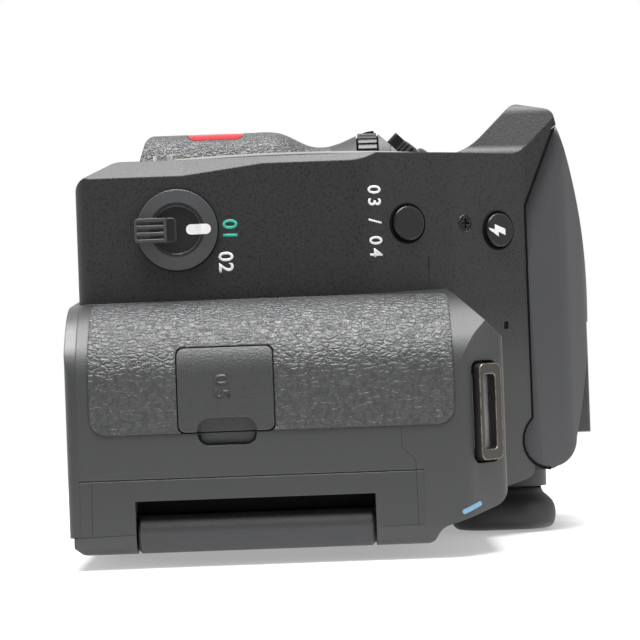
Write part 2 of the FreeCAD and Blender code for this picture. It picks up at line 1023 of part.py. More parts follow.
def window_region(shrink):
    corners = rectangle(
        window_x0 + shrink,
        window_x1 - shrink,
        window_z0 + shrink,
        window_z1 - shrink,
        window_corner - shrink,
    )
    return front_prism(corners, -50, -30)


def grip_skin():
    return grip_region().common(grip).cut(grip_core)


def grip_cover():
    return grip_skin().cut(window_region(0))


def remote_window():
    return grip_skin().common(window_region(window_fit))


def front_cover():
    shape = upper_body()
    shape = shape.cut(grip_region().cut(grip_core))
    shape = shape.fuse(housing_form)
    shape = shape.fuse(hump())
    chamber = block(
        -chamber_half_x,
        chamber_half_x,
        box_back_y,
        rear_seam_y + 20,
        chamber_low_z,
        top_seam_z,
    )
    box_space = block(-box_half_x, box_half_x, ring_back_y, box_back_y, box_low_z, box_high_z)
    ring_seat = Vector(0, ring_back_y, lens_axis_z)
    selector_floor = Vector(housing_left_x - selector_seat, selector_y, selector_z)
    release_floor = release_point + AXIS_Y * (release_depth + 1 + release_travel)
    coupler_floor = lens_point(pin_circle_r, coupler_angle, flange_back_y + 1)
    cuts = [
        rod(ring_outer_r + ring_seat_gap, ring_seat, -AXIS_Y, 8),
        rod(flange_r, ring_seat, AXIS_Y, flange_back_y - ring_back_y),
        box_space,
        chamber,
        prism_space(),
        eyepiece_tunnel(),
        battery_space(),
        door_space(),
        card_space(),
        card_door_space(),
        flash_seat(),
        wing_skin_space(),
        mic_space(),
        lug_pocket_shape(1),
        small_well(side_button_point, side_button_out),
        small_well(flash_button_point, flash_button_out),
        rod(wall_screw_r, wall_screw_point - screw_out * wall_screw_length, screw_out, 4),
        rod(selector_r + slide_gap, selector_floor, AXIS_X, 6),
        rod(release_r + slide_gap, release_floor, -AXIS_Y, 20),
        rod(coupler_r + slide_gap, coupler_floor, -AXIS_Y, 20),
        sound_slot(),
        seam_groove(),
        front_dial_pocket(),
        dioptre_slot(),
        socket_space(),
        base_plate(),
    ]
    for cutter in cuts:
        shape = shape.cut(cutter)
    return shape


def top_cover():
    shape = top_cover_blank()
    stem_low = mode_dial_point - AXIS_Z * (mode_stem_depth + door_gap)
    cuts = [
        rod(mode_stem_r + running_gap, stem_low, AXIS_Z, mode_stem_depth + 3),
        well(facet_centre, facet_out, shutter_r, shutter_depth + 1.5),
        small_well(exposure_point, AXIS_Z),
        dial_pocket(rear_dial_point, rear_dial_r, rear_dial_height),
        lug_pocket_shape(-1),
    ]
    for cutter in cuts:
        shape = shape.cut(cutter)
    return shape


def base_plate():
    """Foot of the camera, with the socket's hole and countersunk screws."""
    body = body_form.common(block(-80, 70, base_front_y, 60, -1, base_thickness))
    pad = plan_prism(rectangle(-24, 26, -16, 4, 5.0), 0, base_thickness)
    body = body.fuse(pad)
    body = body.cut(block(-80, 70, back_y - base_rear_setback, 60, -1, base_thickness + 1))
    body = body.cut(rod(socket_outer_r, Vector(0, 0, -1), AXIS_Z, 6))
    body = body.cut(door_space())
    for x, y in base_screws:
        body = body.cut(rod(base_screw_r, Vector(x, y, -1), AXIS_Z, 6))
    return body


def rear_cover():
    """Back of the body, recessed for the screen and cut away round its hinge."""
    shape = core.common(block(-80, 70, rear_seam_y, 60, base_thickness, top_seam_z))
    rear_edge = back_y - base_rear_setback
    behind = core.common(block(-80, 70, rear_edge, 60, base_rise, base_thickness + 0.1))
    shape = shape.fuse(behind)
    post_left = screen_hinge_x - screen_post_r
    recess = block(
        screen_right_x - window_margin,
        post_left,
        screen_front_y - window_margin,
        60,
        screen_low_z - window_margin,
        screen_high_z + window_margin,
    )
    window = block(
        post_left - hinge_window_depth,
        70,
        window_front_y,
        60,
        hinge_low_z - window_margin,
        hinge_high_z + window_margin,
    )
    shape = shape.cut(recess).cut(window)
    corner = block(post_left - 1, screen_hinge_x, screen_hinge_y, 60, -1, 70)
    corner = corner.cut(rod(screen_post_r, Vector(screen_hinge_x, screen_hinge_y, -1), AXIS_Z, 80))
    shape = shape.cut(corner)
    shape = shape.cut(block(-80, screen_right_x - 1.6, right_back_y, 60, -1, 70))
    for x in (-boss_x, boss_x):
        for z in boss_zs:
            length = rear_seam_y - board_back_y + 1
            shape = shape.fuse(rod(post_r, Vector(x, board_back_y, z), AXIS_Y, length))
    for x, z in rear_buttons.values():
        shape = shape.cut(small_well(Vector(x, right_back_y, z), AXIS_Y))
    shape = shape.cut(rod(pad_outer_r + door_gap + 0.1, pad_point, -AXIS_Y, pad_depth + 1.4))
    return shape.cut(rod(ok_r + slide_gap, pad_point, -AXIS_Y, ok_depth + button_travel + 0.8))


def cross_recess(point, outward, radius):
    """Cross-shaped drive recess in a screw head."""
    bar = block(-radius * 0.62, radius * 0.62, -0.25, 0.25, -0.6, 1)
    other = bar.copy()
    other.rotate(Vector(0, 0, 0), AXIS_Z, 90)
    cross = bar.fuse(other)
    cross.Placement = FreeCAD.Placement(point, FreeCAD.Rotation(AXIS_Z, outward))
    return cross


def screw(point, outward, radius, length):
    body = rod(radius, point - outward * length, outward, length)
    return body.cut(cross_recess(point, outward, radius))


def case_screws():
    screws = [screw(wall_screw_point + screw_out * 0.1, screw_out, wall_screw_r, wall_screw_length + 0.1)]
    for x, y in base_screws:
        head = Vector(x, y, screw_sink)
        screws.append(screw(head, -AXIS_Z, base_screw_r, base_thickness - screw_sink))
    return Part.makeCompound(screws)


def socket_space():
    return rod(socket_outer_r, Vector(0, 0, 0), AXIS_Z, socket_height)


def tripod_socket():
    body = rod(socket_outer_r, Vector(0, 0, 0), AXIS_Z, socket_height)
    return body.cut(rod(socket_hole_r, Vector(0, 0, -1), AXIS_Z, socket_hole_depth + 1))


# Viewfinder


def prism_outline(grow):
    return [
        (prism_front_y + 5 - grow, box_high_z, 0),
        (prism_back_y + grow, box_high_z, 0),
        (prism_back_y + grow, prism_top_z + grow, 0),
        (prism_back_y - 10, prism_top_z + 0.2 + grow, 0),
        (prism_front_y - grow, box_high_z + 11.5, 0),
    ]


def prism_space():
    half = prism_half + prism_fit
    return side_prism(prism_outline(prism_fit), -half, half)


def pentaprism():
    """Glass prism with its roof and its slanting front."""
    body = side_prism(prism_outline(0), -prism_half, prism_half)
    eaves = box_high_z + 10
    roof = [
        (-prism_half, box_high_z, 0),
        (prism_half, box_high_z, 0),
        (prism_half, eaves, 0),
        (4, prism_top_z + 0.4, 0),
        (-4, prism_top_z + 0.4, 0),
        (-prism_half, eaves, 0),
    ]
    return body.common(front_prism(roof, -20, 20))


def eyepiece_corners(shrink):
    half_x = eyepiece_half_x - shrink
    half_z = eyepiece_half_z - shrink
    return rectangle(-half_x, half_x, eyepiece_z - half_z, eyepiece_z + half_z, eyepiece_corner)


def eyepiece_tunnel():
    return front_prism(eyepiece_corners(0), prism_back_y - 1, 50)


def eyepiece_lens():
    """Lens of the eyepiece, with its rounded face towards the eye."""
    glass = front_prism(eyepiece_corners(seat_gap), eyepiece_front_y, eyepiece_back_y)
    ball = Part.makeSphere(eyepiece_lens_r, Vector(0, eyepiece_back_y - eyepiece_lens_r, eyepiece_z))
    return glass.common(ball)


def eyecup():
    """Rubber eyecup: a neck on the eyepiece frame that flares to a rolled rim."""
    z0 = eyepiece_z - eyecup_low
    z1 = eyepiece_z + eyecup_high
    x1 = eyecup_half_x
    neck_corners = rectangle(-x1 + 3.1, x1 - 3.1, z0 + 2.2, z1 - 2.0, 6.0)
    neck = front_prism(neck_corners, eyecup_seat_y, eyecup_seat_y + 3)
    rim = front_prism(rectangle(-x1, x1, z0, z1, 8.0), eyecup_seat_y + 1.4, eyecup_back_y)
    soft = [edge for edge in rim.Edges if abs(edge.BoundBox.YLength) < 0.01]
    rim = rim.makeFillet(2.2, soft)
    hole_x = x1 - eyecup_wall
    hole = rectangle(-hole_x, hole_x, eyepiece_z - 7.6, eyepiece_z + 7.6, 3.0)
    opening = front_prism(hole, 30, 50)
    return neck.fuse(rim).cut(opening).cut(core).cut(housing_form)


def dioptre_slot():
    half = dioptre_half + dioptre_travel + door_gap
    return block(-half, half, dioptre_y0, dioptre_y1, hump_top_z - dioptre_depth, hump_top_z + 2)


def dioptre_slider():
    """Small ribbed slider in the slot above the eyepiece."""
    low = hump_top_z - dioptre_depth + 0.1
    y0 = dioptre_y0 + slide_gap
    y1 = dioptre_y1 - slide_gap
    foot = block(-dioptre_half, dioptre_half, y0, y1, low, hump_top_z - 0.2)
    ribs = []
    for i in range(4):
        x = -dioptre_half + 0.6 + 1.3 * i
        ribs.append(block(x, x + 0.8, y0 + 0.15, y1 - 0.15, hump_top_z - 0.3, hump_top_z + 0.5))
    return joined([foot] + ribs)


# Lens mount


def mount_ring():
    """Bayonet ring: a flat flange, a plain mouth, and three tabs in the relief behind it."""
    start = Vector(0, ring_front_y, lens_axis_z)
    ring = tube(ring_outer_r, throat_r, start, AXIS_Y, ring_thickness)
    outer = rim_edges(ring, start, AXIS_Y, ring_outer_r)
    ring = ring.makeChamfer(ring_chamfer, outer)
    tab_start = start + AXIS_Y * throat_length
    tab_depth = ring_thickness - throat_length
    ring = ring.cut(rod(relief_r, tab_start, AXIS_Y, tab_depth + overcut))
    for i in range(tab_count):
        wedge = Part.makeCylinder(relief_r + 0.3, tab_depth, tab_start, AXIS_Y, tab_angle)
        wedge = wedge.cut(rod(tab_inner_r, tab_start, AXIS_Y, tab_depth))
        wedge.rotate(start, AXIS_Y, tab_start_angle + 360.0 * i / tab_count)
        ring = ring.fuse(wedge)
    for degrees in mount_screw_angles:
        ring = ring.cut(ring_hole(mount_screw_r, degrees))
    for degrees in contact_angles():
        ring = ring.cut(ring_hole(contact_r, degrees))
    ring = ring.cut(ring_hole(lock_pin_r + slide_gap, lock_pin_angle))
    return ring.cut(ring_hole(coupler_r + slide_gap, coupler_angle))


def contact_angles():
    return [contact_first_angle + contact_pitch_angle * i for i in range(contact_count)]


def mount_screws():
    screws = []
    for degrees in mount_screw_angles:
        point = lens_point(pin_circle_r, degrees, ring_front_y + 0.1)
        screws.append(screw(point, -AXIS_Y, mount_screw_r, ring_thickness - 0.1))
    return Part.makeCompound(screws)


def lens_contacts():
    pins = []
    for degrees in contact_angles():
        point = lens_point(pin_circle_r, degrees, ring_front_y - contact_proud)
        pins.append(rod(contact_r, point, AXIS_Y, ring_thickness + contact_proud))
    return Part.makeCompound(pins)


def lock_pin():
    point = lens_point(pin_circle_r, lock_pin_angle, ring_front_y - lock_pin_proud)
    shape = rod(lock_pin_r, point, AXIS_Y, ring_thickness + lock_pin_proud)
    return shape.makeChamfer(0.3, rim_edges(shape, point, AXIS_Y, lock_pin_r))


def af_coupler():
    """Drive shaft of the lens, with a slot across its tip."""
    point = lens_point(pin_circle_r, coupler_angle, ring_front_y - coupler_proud)
    shaft = rod(coupler_r, point, AXIS_Y, ring_thickness + coupler_proud + coupler_reach)
    slot = block(point.x - 3, point.x + 3, point.y - 1, point.y + 1, point.z - 0.4, point.z + 0.4)
    return shaft.cut(slot)


def release_button():
    shape = button(release_point, -AXIS_Y, release_r, release_proud, release_depth, 1.0)
    dish = Part.makeSphere(9, release_point - AXIS_Y * (release_proud + 8.5))
    return shape.cut(dish)


# Mirror box, shutter and sensor


def film_gate(back):
    """Window that the picture's light passes through."""
    low = lens_axis_z - gate_half_z
    high = lens_axis_z + gate_half_z
    return block(-gate_half_x, gate_half_x, 0, back, low, high)


def mirror_box():
    """Light box: a round flange behind the ring and a square tunnel with its windows."""
    centre = Vector(0, ring_back_y, lens_axis_z)
    flange_length = flange_back_y - ring_back_y
    flange = tube(flange_r, flange_bore_r, centre, AXIS_Y, flange_length)
    outer = block(-box_half_x, box_half_x, flange_back_y, box_back_y, box_low_z, box_high_z)
    inner_half = box_half_x - box_wall
    inner = block(
        -inner_half,
        inner_half,
        ring_back_y,
        box_back_y - box_back_wall,
        box_low_z + box_wall,
        box_high_z - box_wall,
    )
    bore = rod(flange_bore_r, centre, AXIS_Y, flange_length + 0.01)
    square_front = block(
        -box_half_x,
        box_half_x,
        ring_back_y,
        flange_back_y,
        box_low_z,
        box_high_z,
    )
    shape = joined([flange, outer, square_front.cut(bore)]).cut(inner)
    window = block(
        -screen_window,
        screen_window,
        screen_window_y0,
        screen_window_y1,
        box_high_z - box_wall - 1,
        box_high_z + 1,
    )
    shape = shape.cut(film_gate(box_back_y + 1)).cut(window)
    hinge = Vector(-inner_half - 1.2, mirror_hinge_y, mirror_hinge_z)
    shape = shape.cut(rod(mirror_pin_r + running_gap, hinge, AXIS_X, 2 * inner_half + 2.4))
    pocket = lens_point(pin_circle_r, coupler_angle, ring_back_y)
    shape = shape.cut(rod(coupler_r + slide_gap, pocket, AXIS_Y, coupler_reach + 2))
    pin_pocket = lens_point(pin_circle_r, lock_pin_angle, ring_back_y)
    shape = shape.cut(rod(lock_pin_r + slide_gap, pin_pocket, AXIS_Y, 3))
    return shape.cut(lever_groove())


def lever_sector(r0, r1, y0, y1, start_degrees, end_degrees):
    """Piece of a ring round the lens axis, between two angles."""
    points = []
    for degrees in (start_degrees, (start_degrees + end_degrees) / 2, end_degrees):
        points.append((lens_point(r0, degrees, y0), lens_point(r1, degrees, y0)))
    inner = Part.Arc(points[0][0], points[1][0], points[2][0]).toShape()
    outer = Part.Arc(points[0][1], points[1][1], points[2][1]).toShape()
    ends = [Part.makeLine(points[0][0], points[0][1]), Part.makeLine(points[2][0], points[2][1])]
    face = Part.Face(Part.Wire(Part.__sortEdges__([inner, outer] + ends)))
    return face.extrude(Vector(0, y1 - y0, 0))


def lever_groove():
    """Room for the aperture lever over its whole swing."""
    low = lever_angle - lever_half_angle - 1
    high = lever_angle + lever_half_angle + 1 + lever_travel
    outer = flange_bore_r + lever_arm_width + door_gap
    y0 = ring_back_y + 0.5
    y1 = y0 + lever_thickness + 2 * slide_gap
    return lever_sector(flange_bore_r - 1, outer, y0, y1, low, high)


def aperture_lever():
    """Curved slide in the flange's groove, with a finger that reaches into the throat."""
    y0 = ring_back_y + 0.5 + slide_gap
    y1 = y0 + lever_thickness
    outer = flange_bore_r + lever_arm_width
    low = lever_angle - lever_half_angle
    high = lever_angle + lever_half_angle
    arm = lever_sector(flange_bore_r + 0.4, outer, y0, y1, low, high)
    finger_low = lever_angle - lever_finger_angle
    finger_high = lever_angle + lever_finger_angle
    finger = lever_sector(lever_finger_r, flange_bore_r + 0.6, y0, y1, finger_low, finger_high)
    return arm.fuse(finger)


def main_mirror():
    """Mirror plate at 45 degrees on its hinge pin."""
    s = math.sqrt(0.5)
    thick = mirror_thickness * s
    tip_y = mirror_hinge_y - mirror_length * s
    tip_z = mirror_hinge_z - mirror_length * s
    corners = [
        (mirror_hinge_y, mirror_hinge_z, 0),
        (tip_y, tip_z, 0),
        (tip_y + thick, tip_z - thick, 0),
        (mirror_hinge_y + thick, mirror_hinge_z - thick, 0),
    ]
    plate = side_prism(corners, -mirror_half_x, mirror_half_x)
    half = box_half_x - box_wall + 1.0
    pin = rod(mirror_pin_r, Vector(-half, mirror_hinge_y, mirror_hinge_z), AXIS_X, 2 * half)
    return plate.fuse(pin)


def focusing_screen():
    low = box_high_z - box_wall + 0.2
    return block(
        -screen_window,
        screen_window,
        screen_window_y0,
        screen_window_y1,
        low,
        box_high_z,
    )


def shutter_frame():
    """Frame of the shutter, with the room between its plates that the blades fold into."""
    back = box_back_y + shutter_thickness
    shape = block(-shutter_half_x, shutter_half_x, box_back_y, back, shutter_low_z, shutter_high_z)
    room_half = gate_half_x + 2.2
    room = block(
        -room_half,
        room_half,
        box_back_y + shutter_face,
        back - shutter_face,
        shutter_low_z + 4,
        lens_axis_z + gate_half_z + 1.0,
    )
    return shape.cut(film_gate(back + 1)).cut(room)


def shutter_blade(order, low, high):
    """One blade of the curtain; the blades overlap and fold one behind another."""
    y = box_back_y + shutter_face + blade_gap + order * (blade_thickness + blade_gap)
    half = gate_half_x + 2.0
    corners = rectangle(-half, half, low, high, 0.6)
    return front_prism(corners, y, y + blade_thickness)


def shutter_blades():
    """Three blades that cover the gate, each a little over the next."""
    names = ["shutter_blade_lower", "shutter_blade_middle", "shutter_blade_upper"]
    low = lens_axis_z - gate_half_z
    pitch = (2 * gate_half_z + 0.4) / 3
    blades = {}
    for i in range(3):
        start = low + pitch * i - blade_overlap
        blades[names[i]] = shutter_blade(i, start, start + pitch + blade_overlap)
    return blades


def image_sensor():
    y0 = sensor_y - 0.4
    package = block(
        -sensor_half_x,
        sensor_half_x,
        y0,
        y0 + sensor_thickness,
        lens_axis_z - sensor_half_z,
        lens_axis_z + sensor_half_z,
    )
    return package.makeChamfer(0.3, [e for e in package.Edges if e.BoundBox.YMax < y0 + 0.01])


def carriage_front_y():
    return sensor_y - 0.4 + sensor_thickness + door_gap


def sensor_carriage():
    """Frame that shifts sideways and carries the sensor, which shifts up and down on it."""
    y0 = carriage_front_y()
    low = lens_axis_z - carriage_half_z
    high = lens_axis_z + carriage_half_z
    plate = block(-carriage_half_x, carriage_half_x, y0, y0 + carriage_thickness, low, high)
    rails = []
    for x in (-rail_x, rail_x):
        x0 = x - rail_half_x
        x1 = x + rail_half_x
        z0 = lens_axis_z - rail_half_z
        z1 = lens_axis_z + rail_half_z
        rails.append(block(x0, x1, sensor_y, y0 + 0.5, z0, z1))
    return joined([plate] + rails)


def main_board():
    """Circuit board with its posts and chips, which the shift carriage slides on."""
    board = block(
        -chamber_half_x,
        chamber_half_x,
        board_front_y,
        board_back_y,
        chamber_low_z + board_margin,
        top_seam_z - board_margin,
    )
    post_front = carriage_front_y() + carriage_thickness + slide_gap
    length = board_front_y - post_front + 0.1
    posts = []
    for x in (-post_x, post_x):
        for z in (-post_z, post_z):
            posts.append(rod(post_r, Vector(x, post_front, lens_axis_z + z), AXIS_Y, length))
    low = lens_axis_z - chip_half
    high = lens_axis_z + chip_half
    chip = block(-chip_half, chip_half, board_front_y - chip_height, board_front_y + 0.1, low, high)
    return joined([board, chip] + posts)


# Battery and card


def battery_space():
    return block(
        battery_x0 - battery_fit,
        battery_x1 + battery_fit,
        battery_y0 - battery_fit,
        battery_y1 + battery_fit,
        0,
        battery_z1,
    )


def battery():
    corners = rectangle(battery_x0, battery_x1, battery_y0, battery_y1, battery_corner)
    return plan_prism(corners, battery_z0, battery_z1)


def door_outline(grow):
    return rectangle(door_x0 - grow, door_x1 + 4, door_y0 - grow, door_y1 + grow, 2.0)


def door_space():
    """Seat of the battery door, open below."""
    zone = plan_prism(door_outline(door_gap), -4, door_high_z + door_gap)
    return zone.common(block(-80, door_x1 + door_sweep, -60, 60, -5, 10))


def battery_door():
    """Door in the grip's foot, with its hinge edge rounded about the pin."""
    axis_z = (door_low_z + door_high_z) / 2
    edge_r = (door_high_z - door_low_z) / 2
    plate = plan_prism(door_outline(0), door_low_z, door_high_z)
    plate = plate.common(block(-80, door_x1, -60, 60, -2, 10))
    plate = plate.common(body_form)
    length = door_y1 - door_y0 - 6
    knuckle = rod(edge_r, Vector(door_x1, door_y0 + 4, axis_z), AXIS_Y, length)
    plate = plate.fuse(knuckle)
    seat_y0 = latch_y0 - latch_travel - door_gap
    seat_y1 = latch_y0 + latch_length + latch_travel + door_gap
    seat_z = door_low_z + door_gap + latch_thickness + 0.1
    return plate.cut(block(latch_x0 - door_gap, latch_x1 + door_gap, seat_y0, seat_y1, -1, seat_z))


def battery_latch():
    """Sliding latch flush in the battery door, with finger ribs."""
    low = door_low_z + door_gap
    plate = block(latch_x0, latch_x1, latch_y0, latch_y0 + latch_length, low, low + latch_thickness)
    for i in range(4):
        y = latch_y0 + 1.6 * (i + 1)
        plate = plate.cut(block(latch_x0 + 0.4, latch_x1 - 0.4, y, y + 0.7, low - 1, low + 0.4))
    return plate


def card_space():
    return block(
        card_x0 - card_room,
        card_x0 + card_length + door_gap,
        card_y - door_gap,
        card_y + card_thickness + door_gap,
        card_z - card_width / 2 - door_gap,
        card_z + card_width / 2 + door_gap,
    )


def memory_card():
    low = card_z - card_width / 2
    high = card_z + card_width / 2
    corners = [
        (card_x0, low, 0.8),
        (card_x0 + card_length, low, 0.5),
        (card_x0 + card_length, high - 3.5, 0.5),
        (card_x0 + card_length - 3.5, high, 0.5),
        (card_x0, high, 0.8),
    ]
    return front_prism(corners, card_y, card_y + card_thickness)


def card_door_zone(shrink):
    corners = rectangle(
        card_door_y0 + shrink,
        card_door_y1 - shrink,
        card_door_z0 + shrink,
        card_door_z1 - shrink,
        2.0 - shrink,
    )
    return side_prism(corners, right_end_x - 2, card_door_x - shrink)


def card_door_space():
    return card_door_zone(0)


def card_door():
    return card_door_zone(door_gap).common(body_form)


# Left end


def wing_layer(outer, inner):
    """Layer that follows the body's plan outline, from an inner to an outer offset."""
    face = outline(body_plan(), plan(0))
    big = face.makeOffset2D(outer) if outer else face
    small = face.makeOffset2D(-inner)
    ring = big.extrude(Vector(0, 0, 80)).cut(small.extrude(Vector(0, 0, 80)))
    return ring.common(block(36, 70, -20, 34, -1, 90))


def leather_window(grow):
    """Outline of the covering, rounded both where it starts and where it ends."""
    low = leather_low_z - grow
    high = leather_high_z + grow
    corners = rectangle(-20, leather_rear_y + grow, low, high, leather_corner)
    rear = side_prism(corners, 30, 70)
    start = front_prism(rectangle(leather_front_x - grow, 80, low, high, leather_corner), -20, 40)
    return rear.common(start)


def wing_skin_space():
    return wing_layer(skin_proud + 1, skin_depth).common(leather_window(0))


def side_cover():
    skin = wing_layer(skin_proud, skin_depth).common(leather_window(0))
    skin = skin.cut(mic_window(door_gap))
    return skin.cut(thumb_notch())


def mic_window(grow):
    corners = rectangle(mic_y0 - grow, mic_y1 + grow, mic_z0 - grow, mic_z1 + grow, mic_corner)
    return side_prism(corners, 45, 70)


def thumb_notch():
    """Finger notch, half in the cover and half in the body beside it."""
    corners = rectangle(notch_y0, notch_y1, notch_z0, notch_z1, 2.2)
    return side_prism(corners, left_end_x - notch_depth, 70)


def socket_start():
    x = left_end_x - mic_cover_depth - mic_socket_setback - mic_socket_length
    return Vector(x, mic_socket_y, mic_socket_z)


def mic_space():
    recess = wing_layer(2, mic_cover_depth + mic_swing_room).common(mic_window(door_gap))
    hole = rod(mic_socket_r, socket_start(), AXIS_X, mic_socket_length + 2)
    return joined([recess, hole, thumb_notch()])


def microphone_cover():
    cover = wing_layer(skin_proud, mic_cover_depth).common(mic_window(0))
    return cover.cut(thumb_notch())


def microphone_socket():
    length = mic_socket_length + mic_socket_setback - mic_swing_room
    return tube(mic_socket_r, mic_bore_r, socket_start(), AXIS_X, length)


# Screen


def screen_barrel():
    """Hinge barrel in its window, with the arm that carries the screen."""
    start = Vector(screen_hinge_x, screen_hinge_y, hinge_low_z)
    length = hinge_high_z - hinge_low_z
    barrel = rod(screen_hinge_r, start, AXIS_Z, length)
    rims = rim_edges(barrel, start, AXIS_Z, screen_hinge_r)
    rims += rim_edges(barrel, start + AXIS_Z * length, AXIS_Z, screen_hinge_r)
    barrel = barrel.makeChamfer(0.4, rims)
    arm = block(
        screen_hinge_x - screen_edge_gap,
        screen_hinge_x,
        screen_hinge_y - 2.4,
        screen_hinge_y + 2.0,
        hinge_low_z + hinge_arm_inset,
        hinge_high_z - hinge_arm_inset,
    )
    return barrel.fuse(arm)


def screen_panel():
    """Screen housing with a soft outer edge and a bezel recess for its glass, which faces out."""
    panel_x = screen_hinge_x - screen_edge_gap
    corners = rectangle(screen_right_x, panel_x, screen_low_z, screen_high_z, 3.0)
    panel = front_prism(corners, screen_front_y, back_y)
    rim = [e for e in panel.Edges if e.BoundBox.YMin > back_y - 0.01]
    panel = panel.makeFillet(0.9, rim)
    return panel.cut(front_prism(glass_corners(0.1), back_y - glass_depth, back_y + 1))


def glass_corners(grow):
    panel_x = screen_hinge_x - screen_edge_gap
    return rectangle(
        screen_right_x + glass_border_x - grow,
        panel_x - glass_border_hinge + grow,
        screen_low_z + glass_border_z - grow,
        screen_high_z - glass_border_z + grow,
        1.5,
    )


def screen_glass():
    floor_y = back_y - glass_depth
    return front_prism(glass_corners(0), floor_y, floor_y + glass_thickness)


# Dials and buttons


def knurled_disc(point, along, radius, height, grooves, depth):
    """Disc with grooves round its rim."""
    disc = rod(radius, point, along, height)
    side_way = AXIS_X if abs(along.dot(AXIS_X)) < 0.5 else AXIS_Y
    tooth_r = math.pi * radius / grooves / 2.2
    cutters = []
    for i in range(grooves):
        turn = FreeCAD.Rotation(along, 360.0 * i / grooves)
        out = turn.multVec(side_way)
        start = point + out * (radius + tooth_r - depth) - along * 0.1
        cutters.append(rod(tooth_r, start, along, height + 0.2))
    return disc.cut(Part.makeCompound(cutters))


def dial_pocket(point, radius, height):
    """Pocket of an embedded dial, with the pin that it turns on left standing."""
    low = point - AXIS_Z * pocket_gap
    return tube(radius + pocket_gap, dial_pin_r, low, AXIS_Z, height + 2 * pocket_gap)


def embedded_dial(point, radius, height):
    disc = knurled_disc(point, AXIS_Z, radius, height, 28, 0.35)
    return disc.cut(rod(dial_pin_r + running_gap, point - AXIS_Z, AXIS_Z, height + 2))


def front_dial_pocket():
    return dial_pocket(front_dial_point, front_dial_r, front_dial_height)


def mode_dial():
    """Knurled dial on a stem in the top cover."""
    point = mode_dial_point + AXIS_Z * mode_dial_gap
    dial = knurled_disc(point, AXIS_Z, mode_dial_r, mode_dial_height, 40, 0.4)
    stem_low = mode_dial_point - AXIS_Z * mode_stem_depth
    stem = rod(mode_stem_r, stem_low, AXIS_Z, mode_stem_depth + mode_dial_gap + 0.1)
    crown = rod(mode_dial_r - 1.4, point + AXIS_Z * mode_dial_height, AXIS_Z, mode_crown)
    return joined([dial, stem, crown])


def power_lever():
    """Ring round the shutter button, with a thumb lug and small ribs."""
    low = facet_centre + facet_out * ring_gap
    ring = tube(ring_r, ring_bore_r, low, facet_out, ring_height)
    down = Vector(0, -math.sqrt(0.5), -math.sqrt(0.5))
    tip = ring_r + ring_tab_length
    lug = block(-ring_tab_half, ring_tab_half, ring_r - 1.0, tip, 0, ring_height)
    corners = [e for e in lug.Edges if e.BoundBox.YMin > tip - 0.1 and e.BoundBox.ZLength > 2]
    lug = lug.makeFillet(0.8, corners)
    turn = FreeCAD.Rotation(-AXIS_X, down, facet_out, "ZYX")
    lug.Placement = FreeCAD.Placement(low, turn)
    ribs = []
    for i in range(-5, 6):
        if abs(i) < 2:
            continue
        rib_turn = FreeCAD.Rotation(facet_out, 11.0 * i)
        out = rib_turn.multVec(down)
        ribs.append(rod(0.45, low + out * ring_r, facet_out, ring_height - 0.3))
    return joined([ring, lug] + ribs)


def shutter_button():
    shape = button(facet_centre, facet_out, shutter_r, shutter_proud, shutter_depth, 0.8)
    dish = Part.makeSphere(16, facet_centre + facet_out * (shutter_proud + 15.3))
    return shape.cut(dish)


def focus_selector():
    """Turning dial: a sloping rim, a dished middle and a ribbed finger tab."""
    foot = housing_left_x - selector_seat + selector_foot_gap
    centre = Vector(foot, selector_y, selector_z)
    low_height = selector_seat + selector_proud - selector_foot_gap - selector_edge
    disc = rod(selector_r, centre, AXIS_X, low_height)
    rim_start = centre + AXIS_X * low_height
    rim = Part.makeCone(selector_r, selector_dish_r + 0.4, selector_edge, rim_start, AXIS_X)
    top = foot + low_height + selector_edge
    dish_start = Vector(top - selector_dish, selector_y, selector_z)
    disc = disc.fuse(rim).cut(rod(selector_dish_r, dish_start, AXIS_X, 2))
    half = selector_tab_half
    tab = side_prism(rectangle(-half, half, -selector_r - 0.2, -0.2, 0.5), 0, selector_tab_height)
    for offset in (-1.2, 0.0, 1.2):
        groove = block(1.2, 3, offset - 0.32, offset + 0.32, -selector_r + 0.2, -2.2)
        tab = tab.cut(groove)
    tab = tab.cut(block(selector_tab_height - 0.5, 3, -half, half, -1.8, 0))
    tab.translate(Vector(top - 0.6, selector_y, selector_z))
    return disc.fuse(tab)


def hot_shoe():
    """Folded sheet shoe: a floor, two sides and two lips over the slot."""
    floor_top = hump_top_z + shoe_floor
    inner = shoe_inner_width / 2
    lip = shoe_lip_width / 2
    outer = inner + shoe_sheet
    slot_top = floor_top + shoe_slot_height
    lip_top = slot_top + shoe_lip
    corners = [
        (-outer, hump_top_z, 0),
        (outer, hump_top_z, 0),
        (outer, lip_top, 0.5),
        (lip, lip_top, 0),
        (lip, slot_top, 0),
        (inner, slot_top, 0),
        (inner, floor_top, 0),
        (-inner, floor_top, 0),
        (-inner, slot_top, 0),
        (-lip, slot_top, 0),
        (-lip, lip_top, 0),
        (-outer, lip_top, 0.5),
    ]
    return front_prism(corners, shoe_front_y, shoe_rear_y)


def shoe_contacts():
    low = hump_top_z + shoe_floor
    middle_y = (shoe_front_y + shoe_rear_y) / 2
    dots = [rod(1.6, Vector(0, middle_y, low), AXIS_Z, 0.35)]
    for x in (-4.2, 4.2):
        for y in (middle_y - 4.5, middle_y + 4.1):
            dots.append(rod(0.9, Vector(x, y, low), AXIS_Z, 0.35))
    return Part.makeCompound(dots)


def four_way_pad():
    start = pad_point - AXIS_Y * pad_depth
    ring = tube(pad_outer_r, pad_inner_r, start, AXIS_Y, pad_depth + pad_proud)
    rim = rim_edges(ring, pad_point + AXIS_Y * pad_proud, AXIS_Y, pad_outer_r)
    return ring.makeFillet(0.6, rim)


def ok_button():
    return button(pad_point, AXIS_Y, ok_r, ok_proud, ok_depth, 0.5)


